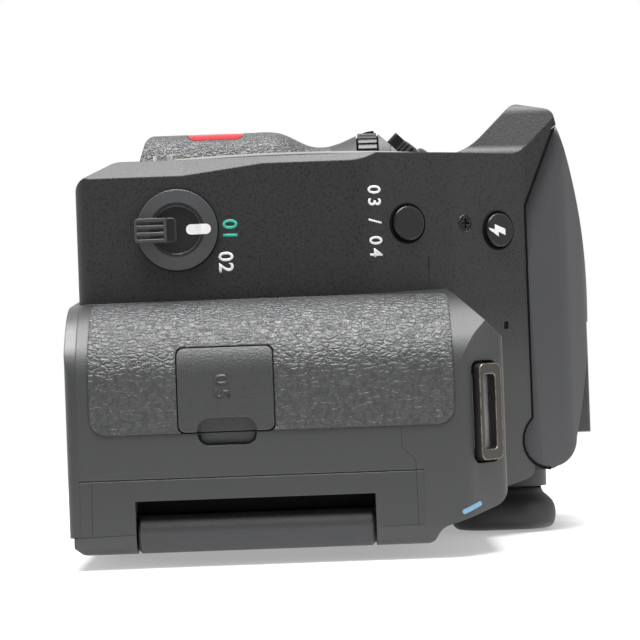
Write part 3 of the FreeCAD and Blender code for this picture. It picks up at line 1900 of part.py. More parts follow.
def save(name, shape):
    """Write one node: a single solid, or a set of like solids such as screws."""
    if len(shape.Solids) == 1:
        shape = shape.removeSplitter()
        shape = shape.Solids[0]
    shape.exportStep("parts/" + name + ".step")


def build():
    save("front_cover", front_cover())
    save("top_cover", top_cover())
    save("rear_cover", rear_cover())
    save("base_plate", base_plate())
    save("tripod_socket", tripod_socket())
    save("case_screws", case_screws())
    save("mount_ring", mount_ring())
    save("mount_screws", mount_screws())
    save("lens_contacts", lens_contacts())
    save("lock_pin", lock_pin())
    save("lens_release_button", release_button())
    save("af_coupler", af_coupler())
    save("mirror_box", mirror_box())
    save("aperture_lever", aperture_lever())
    save("main_mirror", main_mirror())
    save("focusing_screen", focusing_screen())
    save("pentaprism", pentaprism())
    save("eyepiece_lens", eyepiece_lens())
    save("eyecup", eyecup())
    save("shutter_frame", shutter_frame())
    for name, blade in shutter_blades().items():
        save(name, blade)
    save("image_sensor", image_sensor())
    save("sensor_carriage", sensor_carriage())
    save("main_board", main_board())
    save("battery", battery())
    save("battery_door", battery_door())
    save("battery_latch", battery_latch())
    save("memory_card", memory_card())
    save("card_door", card_door())
    save("grip_cover", grip_cover())
    save("remote_window", remote_window())
    save("side_cover", side_cover())
    save("microphone_cover", microphone_cover())
    save("microphone_socket", microphone_socket())
    save("flash_head", flash_head())
    save("flash_window", flash_window_plate())
    save("hot_shoe", hot_shoe())
    save("hot_shoe_contacts", shoe_contacts())
    save("mode_dial", mode_dial())
    save("shutter_button", shutter_button())
    save("power_lever", power_lever())
    save("front_dial", embedded_dial(front_dial_point, front_dial_r, front_dial_height))
    save("rear_dial", embedded_dial(rear_dial_point, rear_dial_r, rear_dial_height))
    save("exposure_button", small_button(exposure_point, AXIS_Z))
    save("side_button", small_button(side_button_point, side_button_out))
    save("flash_button", small_button(flash_button_point, flash_button_out))
    save("focus_selector", focus_selector())
    for name, (x, z) in rear_buttons.items():
        save(name, small_button(Vector(x, right_back_y, z), AXIS_Y))
    save("four_way_pad", four_way_pad())
    save("ok_button", ok_button())
    save("screen_hinge", screen_barrel())
    save("screen_panel", screen_panel())
    save("screen_glass", screen_glass())
    save("dioptre_slider", dioptre_slider())
    save("strap_lugs", Part.makeCompound([strap_lug(1), strap_lug(-1)]))


build()
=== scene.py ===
# %% [markdown]
# # A digital SLR camera body, lying on its back
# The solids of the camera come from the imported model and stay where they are.
# This lesson dresses them: it gives every solid a finish, adds the soft eyecup,
# the printed marks and the thin seams, and lights the camera as in a small
# white light tent.

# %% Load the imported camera
import math

import bpy
from mathutils import Matrix, Vector


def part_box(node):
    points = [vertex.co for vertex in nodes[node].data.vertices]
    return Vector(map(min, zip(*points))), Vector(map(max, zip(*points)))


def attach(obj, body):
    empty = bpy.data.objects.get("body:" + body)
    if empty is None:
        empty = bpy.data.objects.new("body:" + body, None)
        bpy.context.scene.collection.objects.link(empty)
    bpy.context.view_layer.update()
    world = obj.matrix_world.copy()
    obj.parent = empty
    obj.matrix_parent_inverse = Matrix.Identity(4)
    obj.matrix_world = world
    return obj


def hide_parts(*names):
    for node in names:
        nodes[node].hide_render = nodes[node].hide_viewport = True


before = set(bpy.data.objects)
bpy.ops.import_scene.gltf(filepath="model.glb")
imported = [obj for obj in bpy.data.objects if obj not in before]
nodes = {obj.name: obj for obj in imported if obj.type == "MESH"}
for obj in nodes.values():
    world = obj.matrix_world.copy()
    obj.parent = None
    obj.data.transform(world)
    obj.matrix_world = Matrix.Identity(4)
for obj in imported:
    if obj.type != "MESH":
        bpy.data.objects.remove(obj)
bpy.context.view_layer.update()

MM = 0.001
print("solids:", len(nodes))

# %% [markdown]
# ## Small tools
# An operator works on whatever is selected, and loading leaves every solid
# selected. So each new piece starts with nothing selected, and each finished
# piece has its place in its mesh, with its object at the origin.

# %% Helpers that start and end a piece
def clear_selection():
    """Leave edit mode and select nothing."""
    if bpy.context.mode != "OBJECT":
        bpy.ops.object.mode_set(mode="OBJECT")
    bpy.ops.object.select_all(action="DESELECT")


def select_only(piece):
    """Select one piece and make it the active one."""
    clear_selection()
    piece.select_set(True)
    bpy.context.view_layer.objects.active = piece


def settle(piece):
    """Put the place, turn and size of a piece into its mesh."""
    select_only(piece)
    bpy.ops.object.transform_apply(location=True, rotation=True, scale=True)


def apply_modifier(piece, kind, **values):
    """Give a piece one modifier and apply it at once."""
    select_only(piece)
    modifier = piece.modifiers.new(kind.lower(), kind)
    for name, value in values.items():
        setattr(modifier, name, value)
    bpy.ops.object.modifier_apply(modifier=modifier.name)


def smooth_faces(piece):
    """Shade every face of a round piece smooth."""
    for face in piece.data.polygons:
        face.use_smooth = True


def fit_on(piece, body, material):
    """Name what a finished piece rides on and what it is made of."""
    piece.data.materials.clear()
    piece.data.materials.append(material)
    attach(piece, body)
    return piece


# %% [markdown]
# ## Effects that several finishes share
# A moulded cover is spark-eroded in its mould: a fine grain of bumps, with
# darker specks between them. The rubber covering has a leather grain: cells
# with narrow valleys. Hands polish the edges, so a third effect rounds their
# shading and masks where they are. Each effect is a node group with its own
# values in each material. They read Object coordinates, so the grain stays on
# the piece. A scale says how many bumps or cells there are in a metre.

# %% Helpers that place and join nodes
def new_group(name, inputs, outputs):
    """A node group with named number inputs and named outputs, and its two end nodes."""
    group = bpy.data.node_groups.new(name, "ShaderNodeTree")
    for label, value in inputs:
        made = group.interface.new_socket(name=label, in_out="INPUT", socket_type="NodeSocketFloat")
        made.default_value = value
    for label, kind in outputs:
        group.interface.new_socket(name=label, in_out="OUTPUT", socket_type=kind)
    return group, group.nodes.new("NodeGroupInput"), group.nodes.new("NodeGroupOutput")


def add(tree, kind, **values):
    """Add a shader node of a kind, with its settings."""
    node = tree.nodes.new("ShaderNode" + kind)
    for name, value in values.items():
        setattr(node, name, value)
    return node


def join(tree, start, output, end, socket):
    """Link an output of one node to an input of another, each by its name or number."""
    tree.links.new(start.outputs[output], end.inputs[socket])


def noise(tree, place, scale=5.0, detail=2.0):
    """A noise over Object coordinates."""
    node = add(tree, "TexNoise")
    node.inputs["Scale"].default_value = scale
    node.inputs["Detail"].default_value = detail
    join(tree, place, "Object", node, "Vector")
    return node


def distance_from(tree, place, centre, along):
    """Distance from a point in metres, where along says by 1 or 0 which of X, Y and Z count."""
    centred = add(tree, "Mapping")
    centred.inputs["Location"].default_value = [-c for c in centre]
    join(tree, place, "Object", centred, "Vector")
    kept = add(tree, "VectorMath", operation="MULTIPLY")
    kept.inputs[1].default_value = along
    join(tree, centred, "Vector", kept, 0)
    length = add(tree, "VectorMath", operation="LENGTH")
    join(tree, kept, "Vector", length, 0)
    return length


def map_range(tree, source, output, low, high, to_low=0.0, to_high=1.0):
    """Stretch the values from low to high over the range from to_low to to_high."""
    node = add(tree, "MapRange")
    join(tree, source, output, node, "Value")
    node.inputs["From Min"].default_value = low
    node.inputs["From Max"].default_value = high
    node.inputs["To Min"].default_value = to_low
    node.inputs["To Max"].default_value = to_high
    return node


# %% Build the shared effects
def moulded_grain_group():
    """Fine bumps of a moulded cover, and dark specks between them."""
    group, start, end = new_group(
        "moulded grain",
        [("Scale", 3600.0), ("Speck Scale", 2600.0)],
        [("Height", "NodeSocketFloat"), ("Specks", "NodeSocketFloat"), ("Cloud", "NodeSocketFloat")],
    )
    place = add(group, "TexCoord")
    bumps = noise(group, place, detail=3.0)
    join(group, start, "Scale", bumps, "Scale")
    join(group, bumps, "Fac", end, "Height")
    specks = noise(group, place)
    join(group, start, "Speck Scale", specks, "Scale")
    few = map_range(group, specks, "Fac", 0.5, 0.7)
    join(group, few, "Result", end, "Specks")
    cloud = noise(group, place, 42.0, detail=3.0)
    join(group, cloud, "Fac", end, "Cloud")
    return group


def leather_grain_group():
    """Upright flat cells with thin valleys in two sizes, bent by a noise so that no two look alike."""
    group, start, end = new_group(
        "leather grain",
        [("Scale", 900.0), ("Bend", 0.0014)],
        [("Height", "NodeSocketFloat"), ("Valleys", "NodeSocketFloat"), ("Wear", "NodeSocketFloat")],
    )
    place = add(group, "TexCoord")
    bend = noise(group, place, 480.0, detail=3.0)
    shift = add(group, "VectorMath", operation="SCALE")
    join(group, start, "Bend", shift, "Scale")
    join(group, bend, "Color", shift, "Vector")
    bent = add(group, "VectorMath", operation="ADD")
    join(group, place, "Object", bent, 0)
    join(group, shift, "Vector", bent, 1)
    wide = add(group, "VectorMath", operation="MULTIPLY")
    wide.inputs[1].default_value = (1.0, 1.0, 0.55)
    join(group, bent, "Vector", wide, 0)
    cells = add(group, "TexVoronoi", feature="DISTANCE_TO_EDGE")
    join(group, wide, "Vector", cells, "Vector")
    join(group, start, "Scale", cells, "Scale")
    fine = add(group, "TexVoronoi", feature="DISTANCE_TO_EDGE")
    finer = add(group, "Math", operation="MULTIPLY")
    finer.inputs[1].default_value = 2.3
    join(group, start, "Scale", finer, 0)
    join(group, bent, "Vector", fine, "Vector")
    join(group, finer, "Value", fine, "Scale")
    plateau = map_range(group, cells, "Distance", 0.0, 0.26)
    wrinkle = map_range(group, fine, "Distance", 0.0, 0.25, 0.0, 0.3)
    height = add(group, "Math", operation="ADD")
    join(group, plateau, "Result", height, 0)
    join(group, wrinkle, "Result", height, 1)
    join(group, height, "Value", end, "Height")
    valleys = map_range(group, height, "Value", 0.2, 0.9, 1.0, 0.0)
    join(group, valleys, "Result", end, "Valleys")
    patches = noise(group, place, 60.0, detail=4.0)
    join(group, patches, "Fac", end, "Wear")
    return group


def edge_group():
    """Rounded shading for a sharp edge, and a mask of where handling has polished it."""
    group, start, end = new_group(
        "handled edge",
        [("Radius", 0.3 * MM)],
        [("Normal", "NodeSocketVector"), ("Edge", "NodeSocketFloat")],
    )
    soft = add(group, "Bevel", samples=4)
    join(group, start, "Radius", soft, "Radius")
    join(group, soft, "Normal", end, "Normal")
    real = add(group, "NewGeometry")
    same = add(group, "VectorMath", operation="DOT_PRODUCT")
    join(group, soft, "Normal", same, 0)
    join(group, real, "Normal", same, 1)
    turned = map_range(group, same, "Value", 0.995, 0.82)
    join(group, turned, "Result", end, "Edge")
    return group


moulded_grain = moulded_grain_group()
leather_grain = leather_grain_group()
handled_edge = edge_group()
print("shared effects:", [group.name for group in (moulded_grain, leather_grain, handled_edge)])


# %% [markdown]
# ## Finishes
# Most of this camera is black plastic, and black plastic is read by its sheen.
# So each finish gets its own grain, roughness and edge polish, and only small
# steps in colour. The numbers are linear colours, a little above pure black.
# Three covers have a second, darker tone, a painted shade where less light reaches
# them, and a mask that depends on the place blends the two.

# %% Helpers that start a finish
# Sockets of a Mix node that blends two colours, by number because several have the same name
MIX_SHARE = 0
MIX_LOW = 6
MIX_HIGH = 7
MIX_COLOUR = 2


def place_group(tree, group, **values):
    """Place a shared effect in a material, with this material's own values."""
    node = tree.nodes.new("ShaderNodeGroup")
    node.node_tree = group
    for name, value in values.items():
        node.inputs[name.replace("_", " ")].default_value = value
    return node


def start_material(name):
    """A new material, its nodes and its main shader."""
    material = bpy.data.materials.new(name)
    material.use_nodes = True
    tree = material.node_tree
    shader = tree.nodes["Principled BSDF"]
    return material, tree, shader


def toned(colour, factor):
    """The same colour, darker or lighter."""
    return tuple(c * factor for c in colour)


def blend_colours(tree, low, high, mask, output):
    """Blend from one colour to another by a mask."""
    mix = add(tree, "Mix", data_type="RGBA")
    mix.inputs[MIX_LOW].default_value = (*low, 1.0)
    mix.inputs[MIX_HIGH].default_value = (*high, 1.0)
    join(tree, mask, output, mix, MIX_SHARE)
    return mix


def vary_roughness(tree, shader, mask, output, low, high, smooth, rough):
    """Roughness that goes from smooth to rough as the mask goes from low to high."""
    spread = map_range(tree, mask, output, low, high, smooth, rough)
    join(tree, spread, "Result", shader, "Roughness")
    return spread


def add_bump(tree, shader, height, output, distance, strength, edge):
    """Fine bumps from a height, laid over the rounded edges where there are any."""
    bump = add(tree, "Bump")
    bump.inputs["Distance"].default_value = distance
    bump.inputs["Strength"].default_value = strength
    join(tree, height, output, bump, "Height")
    if edge is not None:
        join(tree, edge, "Normal", bump, "Normal")
    join(tree, bump, "Normal", shader, "Normal")


# %% Masks for the painted shade on covers with two tones
# The selector's axis stands square on the wall, at this place in millimetres.
SELECTOR_Y = -14.8
SELECTOR_Z = 18.7
SELECTOR_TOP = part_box("focus_selector")[1].x
# Each pair of distances, in metres, is where the lit tone begins and where it is full; short of the first
# lies the painted shade.
END_TONE = (43.0 * MM, 54.0 * MM)
BACK_TONE = (0.0, 14.0 * MM)
BARREL_TONE = (35.6 * MM, 36.6 * MM)
RING_TONE = (4.7 * MM, 4.9 * MM)
TAB_TONE = (SELECTOR_TOP - 0.45 * MM, SELECTOR_TOP - 0.25 * MM)


def coordinates(tree):
    """The Object coordinates of a piece, taken apart into X, Y and Z."""
    place = add(tree, "TexCoord")
    parts = add(tree, "SeparateXYZ")
    join(tree, place, "Object", parts, "Vector")
    return parts


def either_mask(tree, first, second):
    """The larger of two mapped ranges."""
    either = add(tree, "Math", operation="MAXIMUM")
    join(tree, first, "Result", either, 0)
    join(tree, second, "Result", either, 1)
    return either, "Value"


def housing_painted_shade_mask(tree):
    """Mask of the two ends of the camera and of the covers near its back; the housing's wall between them
    gets a painted shade.
    """
    parts = coordinates(tree)
    size = add(tree, "Math", operation="ABSOLUTE")
    join(tree, parts, "X", size, 0)
    ends = map_range(tree, size, "Value", *END_TONE)
    back = map_range(tree, parts, "Y", *BACK_TONE)
    return either_mask(tree, ends, back)


def barrel_painted_shade_mask(tree):
    """Mask of the part of the hinge barrel that the light reaches; the part under the window's edge gets a
    painted shade.
    """
    return map_range(tree, coordinates(tree), "Y", *BARREL_TONE), "Result"


def selector_painted_shade_mask(tree):
    """Mask of the selector's bevelled ring and of its finger tab, round its middle, which gets a painted
    shade as a recess.
    """
    place = add(tree, "TexCoord")
    axis = (0, SELECTOR_Y * MM, SELECTOR_Z * MM)
    radius = distance_from(tree, place, axis, along=(0, 1, 1))
    ring = map_range(tree, radius, "Value", *RING_TONE)
    tab = map_range(tree, coordinates(tree), "X", *TAB_TONE)
    return either_mask(tree, ring, tab)


print("top of the selector:", round(SELECTOR_TOP / MM, 2), "mm from the middle")


# %% The moulded plastics
def moulded_plastic(
    name, colour, roughness, grain=3600.0, depth=0.03 * MM, specks=0.25,
    edge_radius=0.3 * MM, polish=1.5, painted_shade=None, painted_shade_specks=0.6, mask=None,
):
    """A moulded cover: base colour, fine specks, polished edges, fine bumps.

    Where a painted shade colour is given, it shows where the mask is 0.
    """
    material, tree, shader = start_material(name)
    texture = place_group(tree, moulded_grain, Scale=grain, Speck_Scale=grain * 0.7)
    edge = place_group(tree, handled_edge, Radius=edge_radius)
    body = blend_colours(tree, colour, toned(colour, 1.0 - specks), texture, "Specks")
    if painted_shade is not None:
        share, output = mask(tree)
        painted_shade_tone = blend_colours(tree, painted_shade, toned(painted_shade, 1.0 - painted_shade_specks), texture, "Specks")
        both = add(tree, "Mix", data_type="RGBA")
        join(tree, share, output, both, MIX_SHARE)
        join(tree, painted_shade_tone, MIX_COLOUR, both, MIX_LOW)
        join(tree, body, MIX_COLOUR, both, MIX_HIGH)
        body = both
    worn = add(tree, "Mix", data_type="RGBA")
    join(tree, edge, "Edge", worn, MIX_SHARE)
    join(tree, body, MIX_COLOUR, worn, MIX_LOW)
    worn.inputs[MIX_HIGH].default_value = (*toned(colour, polish), 1.0)
    join(tree, worn, MIX_COLOUR, shader, "Base Color")
    vary_roughness(tree, shader, texture, "Cloud", 0.3, 0.7, roughness - 0.04, roughness + 0.04)
    add_bump(tree, shader, texture, "Height", depth, 0.7, edge)
    return material


cover_plastic = moulded_plastic("charcoal cover", (0.037, 0.038, 0.039), 0.4, specks=0.1, polish=1.2)
# Painted shade: the housing's side wall, away from the two ends and the back, takes a darker tone for the
# shade that the covers around it cast.
housing_plastic = moulded_plastic(
    "charcoal housing", (0.04, 0.041, 0.042), 0.48, grain=3000.0, depth=0.05 * MM, specks=0.1, polish=1.7,
    painted_shade=(0.016, 0.0165, 0.017), painted_shade_specks=0.85, mask=housing_painted_shade_mask,
)
# Painted shade: the hinge barrel is darker where the window's edge shades it.
hinge_plastic = moulded_plastic(
    "hinge barrel", (0.037, 0.038, 0.04), 0.62, grain=3000.0, depth=0.06 * MM, specks=0.1,
    painted_shade=(0.012, 0.012, 0.013), painted_shade_specks=0.7, mask=barrel_painted_shade_mask,
)
# Painted sheen and shade: the light tone of the ring and tab stands partly for their sheen, and the dark
# middle is painted shade of its recess.
selector_plastic = moulded_plastic(
    "selector", (0.05, 0.051, 0.053), 0.3, grain=4200.0, depth=0.02 * MM, specks=0.1, polish=2.0,
    painted_shade=(0.01, 0.01, 0.0105), mask=selector_painted_shade_mask,
)
satin_plastic = moulded_plastic("satin grey cover", (0.054, 0.055, 0.058), 0.38, grain=4200.0, specks=0.12)
button_plastic = moulded_plastic(
    "button black", (0.008, 0.008, 0.009), 0.3, grain=4000.0, depth=0.01 * MM, specks=0.15
)
dial_plastic = moulded_plastic("dial black", (0.024, 0.025, 0.026), 0.36, grain=4200.0, specks=0.2)
soft_rubber = moulded_plastic(
    "soft rubber", (0.022, 0.022, 0.022), 0.6, grain=4500.0, specks=0.2, edge_radius=0.5 * MM
)
port_rubber = moulded_plastic(
    "port cover rubber", (0.04, 0.041, 0.042), 0.42, grain=3000.0, depth=0.12 * MM, specks=0.2
)
battery_plastic = moulded_plastic("battery grey", (0.07, 0.07, 0.075), 0.55)
card_plastic = moulded_plastic("card blue", (0.03, 0.045, 0.1), 0.5)
inner_black = moulded_plastic(
    "flocked black", (0.01, 0.01, 0.01), 0.85, grain=2500.0, depth=0.05 * MM, specks=0.4, polish=1.2
)
blade_lacquer = moulded_plastic(
    "lacquered blade", (0.02, 0.02, 0.021), 0.38, grain=1800.0, depth=0.003 * MM, specks=0.1
)
print("materials so far:", len(bpy.data.materials))


# %% The leather-grained rubber
def leather_rubber(name, colour, scale, depth):
    """Rubber with a leather grain, darker in its valleys and unevenly worn."""
    material, tree, shader = start_material(name)
    grain = place_group(tree, leather_grain, Scale=scale)
    edge = place_group(tree, handled_edge, Radius=0.5 * MM)
    mix = blend_colours(tree, colour, toned(colour, 0.72), grain, "Valleys")
    join(tree, mix, MIX_COLOUR, shader, "Base Color")
    vary_roughness(tree, shader, grain, "Wear", 0.35, 0.65, 0.3, 0.4)
    add_bump(tree, shader, grain, "Height", depth, 0.75, edge)
    return material


skin_rubber = leather_rubber("leather-grained rubber", (0.05, 0.051, 0.053), scale=1150.0, depth=0.13 * MM)


# %% [markdown]
# ## Metals, glass and the parts inside
# The mount ring is turned on a lathe, so its fine lines run round the lens
# axis. The strap lug is blackened steel that a strap has rubbed bright. Glass
# keeps a plain transmission, and only its tint, its smears and its ribs come
# from nodes.

# %% The metals
LENS_AXIS_Z = 38.0 * MM


def turned_steel(name, colour, roughness, lines):
    """Steel with fine lathe lines round the lens axis."""
    material, tree, shader = start_material(name)
    place = add(tree, "TexCoord")
    radius = distance_from(tree, place, (0, 0, LENS_AXIS_Z), along=(1, 0, 1))
    rings = add(tree, "TexNoise", noise_dimensions="1D")
    rings.inputs["Scale"].default_value = lines
    join(tree, radius, "Value", rings, "W")
    vary_roughness(tree, shader, rings, "Fac", 0.3, 0.7, roughness - 0.06, roughness + 0.1)
    tone = blend_colours(tree, colour, toned(colour, 0.86), rings, "Fac")
    join(tree, tone, MIX_COLOUR, shader, "Base Color")
    edge = place_group(tree, handled_edge, Radius=0.2 * MM)
    add_bump(tree, shader, rings, "Fac", 0.004 * MM, 0.5, edge)
    shader.inputs["Metallic"].default_value = 1.0
    return material


def worn_metal(name, colour, bright, roughness, wear):
    """Coated metal whose edges are rubbed to the bare metal."""
    material, tree, shader = start_material(name)
    texture = place_group(tree, moulded_grain, Scale=1100.0, Speck_Scale=500.0)
    edge = place_group(tree, handled_edge, Radius=0.35 * MM)
    share = add(tree, "Math", operation="MULTIPLY")
    join(tree, edge, "Edge", share, 0)
    patches = map_range(tree, texture, "Height", 0.35, 0.6, 0.2, wear)
    join(tree, patches, "Result", share, 1)
    mix = blend_colours(tree, colour, bright, share, "Value")
    join(tree, mix, MIX_COLOUR, shader, "Base Color")
    vary_roughness(tree, shader, texture, "Cloud", 0.3, 0.7, roughness - 0.08, roughness + 0.08)
    add_bump(tree, shader, texture, "Height", 0.008 * MM, 0.5, edge)
    shader.inputs["Metallic"].default_value = 1.0
    return material


ring_steel = turned_steel("turned steel", (0.72, 0.715, 0.7), 0.24, 2600.0)
pin_steel = worn_metal("plain steel", (0.6, 0.6, 0.59), (0.8, 0.8, 0.79), 0.28, 0.6)
lug_steel = worn_metal("blackened steel", (0.085, 0.079, 0.074), (0.5, 0.42, 0.33), 0.42, 1.0)
shoe_steel = worn_metal("shoe steel", (0.1, 0.1, 0.1), (0.6, 0.6, 0.58), 0.34, 1.0)
screw_black = worn_metal("black screw", (0.03, 0.03, 0.03), (0.25, 0.25, 0.25), 0.4, 0.7)
contact_gold = worn_metal("gold contact", (0.83, 0.6, 0.26), (0.95, 0.78, 0.45), 0.22, 0.8)


# %% Glass, mirror, sensor and board
def clear_glass(name, colour, roughness, transmission, ribs=0.0):
    """Glass or clear plastic with a faint smear, and with upright ribs where a number is given."""
    material, tree, shader = start_material(name)
    place = add(tree, "TexCoord")
    smear = noise(tree, place, 90.0)
    tint = blend_colours(tree, colour, toned(colour, 0.93), smear, "Fac")
    join(tree, tint, MIX_COLOUR, shader, "Base Color")
    vary_roughness(tree, shader, smear, "Fac", 0.35, 0.75, roughness, roughness + 0.05)
    if ribs:
        waves = add(tree, "TexWave", bands_direction="X")
        waves.inputs["Scale"].default_value = ribs
        join(tree, place, "Object", waves, "Vector")
        add_bump(tree, shader, waves, "Fac", 0.3 * MM, 0.7, None)
    shader.inputs["Transmission Weight"].default_value = transmission
    shader.inputs["IOR"].default_value = 1.5
    return material


def dark_gloss(name, colour, second, roughness):
    """A dark glossy face whose tone drifts a little towards a second one."""
    material, tree, shader = start_material(name)
    place = add(tree, "TexCoord")
    smear = noise(tree, place, 60.0, detail=4.0)
    tone = blend_colours(tree, colour, second, smear, "Fac")
    join(tree, tone, MIX_COLOUR, shader, "Base Color")
    vary_roughness(tree, shader, smear, "Fac", 0.4, 0.8, roughness, roughness + 0.07)
    shader.inputs["Coat Weight"].default_value = 0.6
    return material


def mirror_coat():
    """Silvered glass with a few specks of dust."""
    material, tree, shader = start_material("mirror coat")
    place = add(tree, "TexCoord")
    dust = noise(tree, place, 2500.0)
    dulled = vary_roughness(tree, shader, dust, "Fac", 0.62, 0.75, 0.02, 0.3)
    tone = blend_colours(tree, (0.88, 0.9, 0.9), (0.7, 0.72, 0.72), dulled, "Result")
    join(tree, tone, MIX_COLOUR, shader, "Base Color")
    shader.inputs["Metallic"].default_value = 1.0
    return material


def circuit_board():
    """Green solder mask with paler copper tracks under it."""
    material, tree, shader = start_material("circuit board")
    place = add(tree, "TexCoord")
    tracks = add(tree, "TexBrick")
    tracks.inputs["Scale"].default_value = 260.0
    tracks.inputs["Mortar Size"].default_value = 0.03
    tracks.inputs["Color1"].default_value = (0.012, 0.06, 0.03, 1)
    tracks.inputs["Color2"].default_value = (0.015, 0.075, 0.036, 1)
    tracks.inputs["Mortar"].default_value = (0.05, 0.16, 0.08, 1)
    turn = add(tree, "Mapping")
    turn.inputs["Rotation"].default_value = (math.radians(90), 0, 0)
    join(tree, place, "Object", turn, "Vector")
    join(tree, turn, "Vector", tracks, "Vector")
    join(tree, tracks, "Color", shader, "Base Color")
    grain = place_group(tree, moulded_grain)
    vary_roughness(tree, shader, grain, "Cloud", 0.3, 0.7, 0.3, 0.45)
    return material


lens_glass = clear_glass("finder glass", (0.86, 0.92, 0.93), 0.02, 1.0)
matte_screen = clear_glass("ground glass", (0.82, 0.84, 0.83), 0.35, 0.7)
ribbed_window = clear_glass("ribbed flash window", (0.93, 0.93, 0.9), 0.12, 0.9, ribs=190.0)
red_window = clear_glass("red window", (0.5, 0.012, 0.02), 0.1, 0.35)
display_glass = dark_gloss("display glass", (0.006, 0.006, 0.007), (0.012, 0.012, 0.014), 0.08)
sensor_filter = dark_gloss("sensor filter", (0.02, 0.05, 0.06), (0.05, 0.03, 0.06), 0.1)
mirror_face = mirror_coat()
board_green = circuit_board()

# %% Give every solid its finish
finishes = {
    housing_plastic: ["front_cover"],
    hinge_plastic: ["screen_hinge"],
    selector_plastic: ["focus_selector"],
    cover_plastic: ["top_cover", "rear_cover", "base_plate", "battery_door", "card_door"],
    satin_plastic: ["flash_head", "screen_panel"],
    button_plastic: [
        "lens_release_button", "battery_latch", "shutter_button", "power_lever", "exposure_button",
        "side_button", "flash_button", "menu_button", "play_button", "info_button", "live_view_button",
        "four_way_pad", "ok_button", "dioptre_slider",
    ],
    dial_plastic: ["mode_dial", "front_dial", "rear_dial"],
    skin_rubber: ["grip_cover", "side_cover"],
    port_rubber: ["microphone_cover"],
    soft_rubber: ["eyecup"],
    ring_steel: ["mount_ring", "tripod_socket"],
    pin_steel: ["mount_screws", "lock_pin", "af_coupler", "aperture_lever", "microphone_socket"],
    lug_steel: ["strap_lugs"],
    shoe_steel: ["hot_shoe"],
    screw_black: ["case_screws"],
    contact_gold: ["lens_contacts", "hot_shoe_contacts"],
    inner_black: ["mirror_box", "shutter_frame"],
    blade_lacquer: [
        "shutter_blade_lower", "shutter_blade_middle", "shutter_blade_upper", "sensor_carriage",
    ],
    lens_glass: ["pentaprism", "eyepiece_lens"],
    matte_screen: ["focusing_screen"],
    mirror_face: ["main_mirror"],
    sensor_filter: ["image_sensor"],
    board_green: ["main_board"],
    battery_plastic: ["battery"],
    card_plastic: ["memory_card"],
    red_window: ["remote_window"],
    display_glass: ["screen_glass"],
    ribbed_window: ["flash_window"],
}
dressed = 0
for material, names in finishes.items():
    for name in names:
        nodes[name].data.materials.clear()
        nodes[name].data.materials.append(material)
        dressed += 1
print("solids with a finish:", dressed)

# %% [markdown]
# ## The eyecup
# The rubber eyecup is a soft ring: a neck on the eyepiece frame, a flare, and
# a rolled rim. One rounded rectangle is drawn and then extruded and resized
# step by step, out along the outside and back along the inside, and a
# subdivision surface makes it soft. Extruding gives its new faces another
# order in each run, so they are sorted by their distance from one point.

# %% Model the eyecup
def rounded_loop(half_x, half_z, centre, radius):
    """A flat rounded rectangle in the plane across Y, with no face in it."""
    clear_selection()
    bpy.ops.mesh.primitive_plane_add(size=1, location=centre, rotation=(math.radians(90), 0, 0))
    loop = bpy.context.active_object
    loop.scale = (2 * half_x, 2 * half_z, 1)
    settle(loop)
    bpy.ops.object.mode_set(mode="EDIT")
    bpy.ops.mesh.select_all(action="SELECT")
    bpy.ops.mesh.bevel(offset=radius, segments=5, affect="VERTICES")
    bpy.ops.mesh.delete(type="ONLY_FACE")
    bpy.ops.mesh.select_all(action="SELECT")
    return loop


def step_out(now, then, centre_z):
    """Extrude the open loop and resize it from one ring (half_x, half_z, y) to the next."""
    bpy.ops.mesh.extrude_region_move(TRANSFORM_OT_translate={"value": (0, then[2] - now[2], 0)})
    bpy.ops.transform.resize(
        value=(then[0] / now[0], 1, then[1] / now[1]),
        center_override=(0, then[2], centre_z),
    )


cup_low, cup_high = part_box("eyecup")
cup_z = (cup_low.z + cup_high.z) / 2
# In metres: a point off to one side, so that no two faces are equally far from it
SORTING_POINT = (0.2, 0.1, 0.05)
corner = 5.0 * MM
seat = cup_low.y + 0.05 * MM
rim = cup_high.y - 0.1 * MM
wide = cup_high.x - 0.8 * MM
tall = (cup_high.z - cup_low.z) / 2 - 0.3 * MM
rings = [
    (wide - 3.4 * MM, tall - 2.4 * MM, seat),
    (wide - 3.2 * MM, tall - 2.2 * MM, seat + 1.4 * MM),
    (wide - 0.5 * MM, tall - 0.4 * MM, seat + 2.4 * MM),
    (wide + 0.4 * MM, tall + 0.1 * MM, seat + 4.6 * MM),
    (wide - 0.2 * MM, tall - 0.3 * MM, rim - 0.7 * MM),
    (wide - 2.2 * MM, tall - 1.5 * MM, rim),
    (wide - 4.4 * MM, tall - 2.1 * MM, rim - 0.8 * MM),
    (wide - 6.2 * MM, tall - 2.4 * MM, rim - 3.0 * MM),
    (wide - 6.6 * MM, tall - 2.5 * MM, seat),
]
first_x, first_z, first_y = rings[0]
eyecup_ring = rounded_loop(first_x, first_z, (0, first_y, cup_z), corner)
for now, then in zip(rings, rings[1:]):
    step_out(now, then, cup_z)
bpy.ops.mesh.select_all(action="DESELECT")
bpy.ops.mesh.select_non_manifold()
bpy.ops.mesh.bridge_edge_loops()
bpy.ops.mesh.select_all(action="SELECT")
bpy.ops.mesh.normals_make_consistent(inside=False)
bpy.context.scene.cursor.location = SORTING_POINT
bpy.ops.mesh.sort_elements(type="CURSOR_DISTANCE", elements={"VERT", "EDGE", "FACE"})
bpy.context.scene.cursor.location = (0, 0, 0)
bpy.ops.object.mode_set(mode="OBJECT")
eyecup_ring.data.update(calc_edges=True)
eyecup_ring.name = "eyecup_ring"
apply_modifier(eyecup_ring, "SUBSURF", levels=2, render_levels=2)
smooth_faces(eyecup_ring)
fit_on(eyecup_ring, "body", soft_rubber)
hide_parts("eyecup")
print("eyecup faces:", len(eyecup_ring.data.polygons))

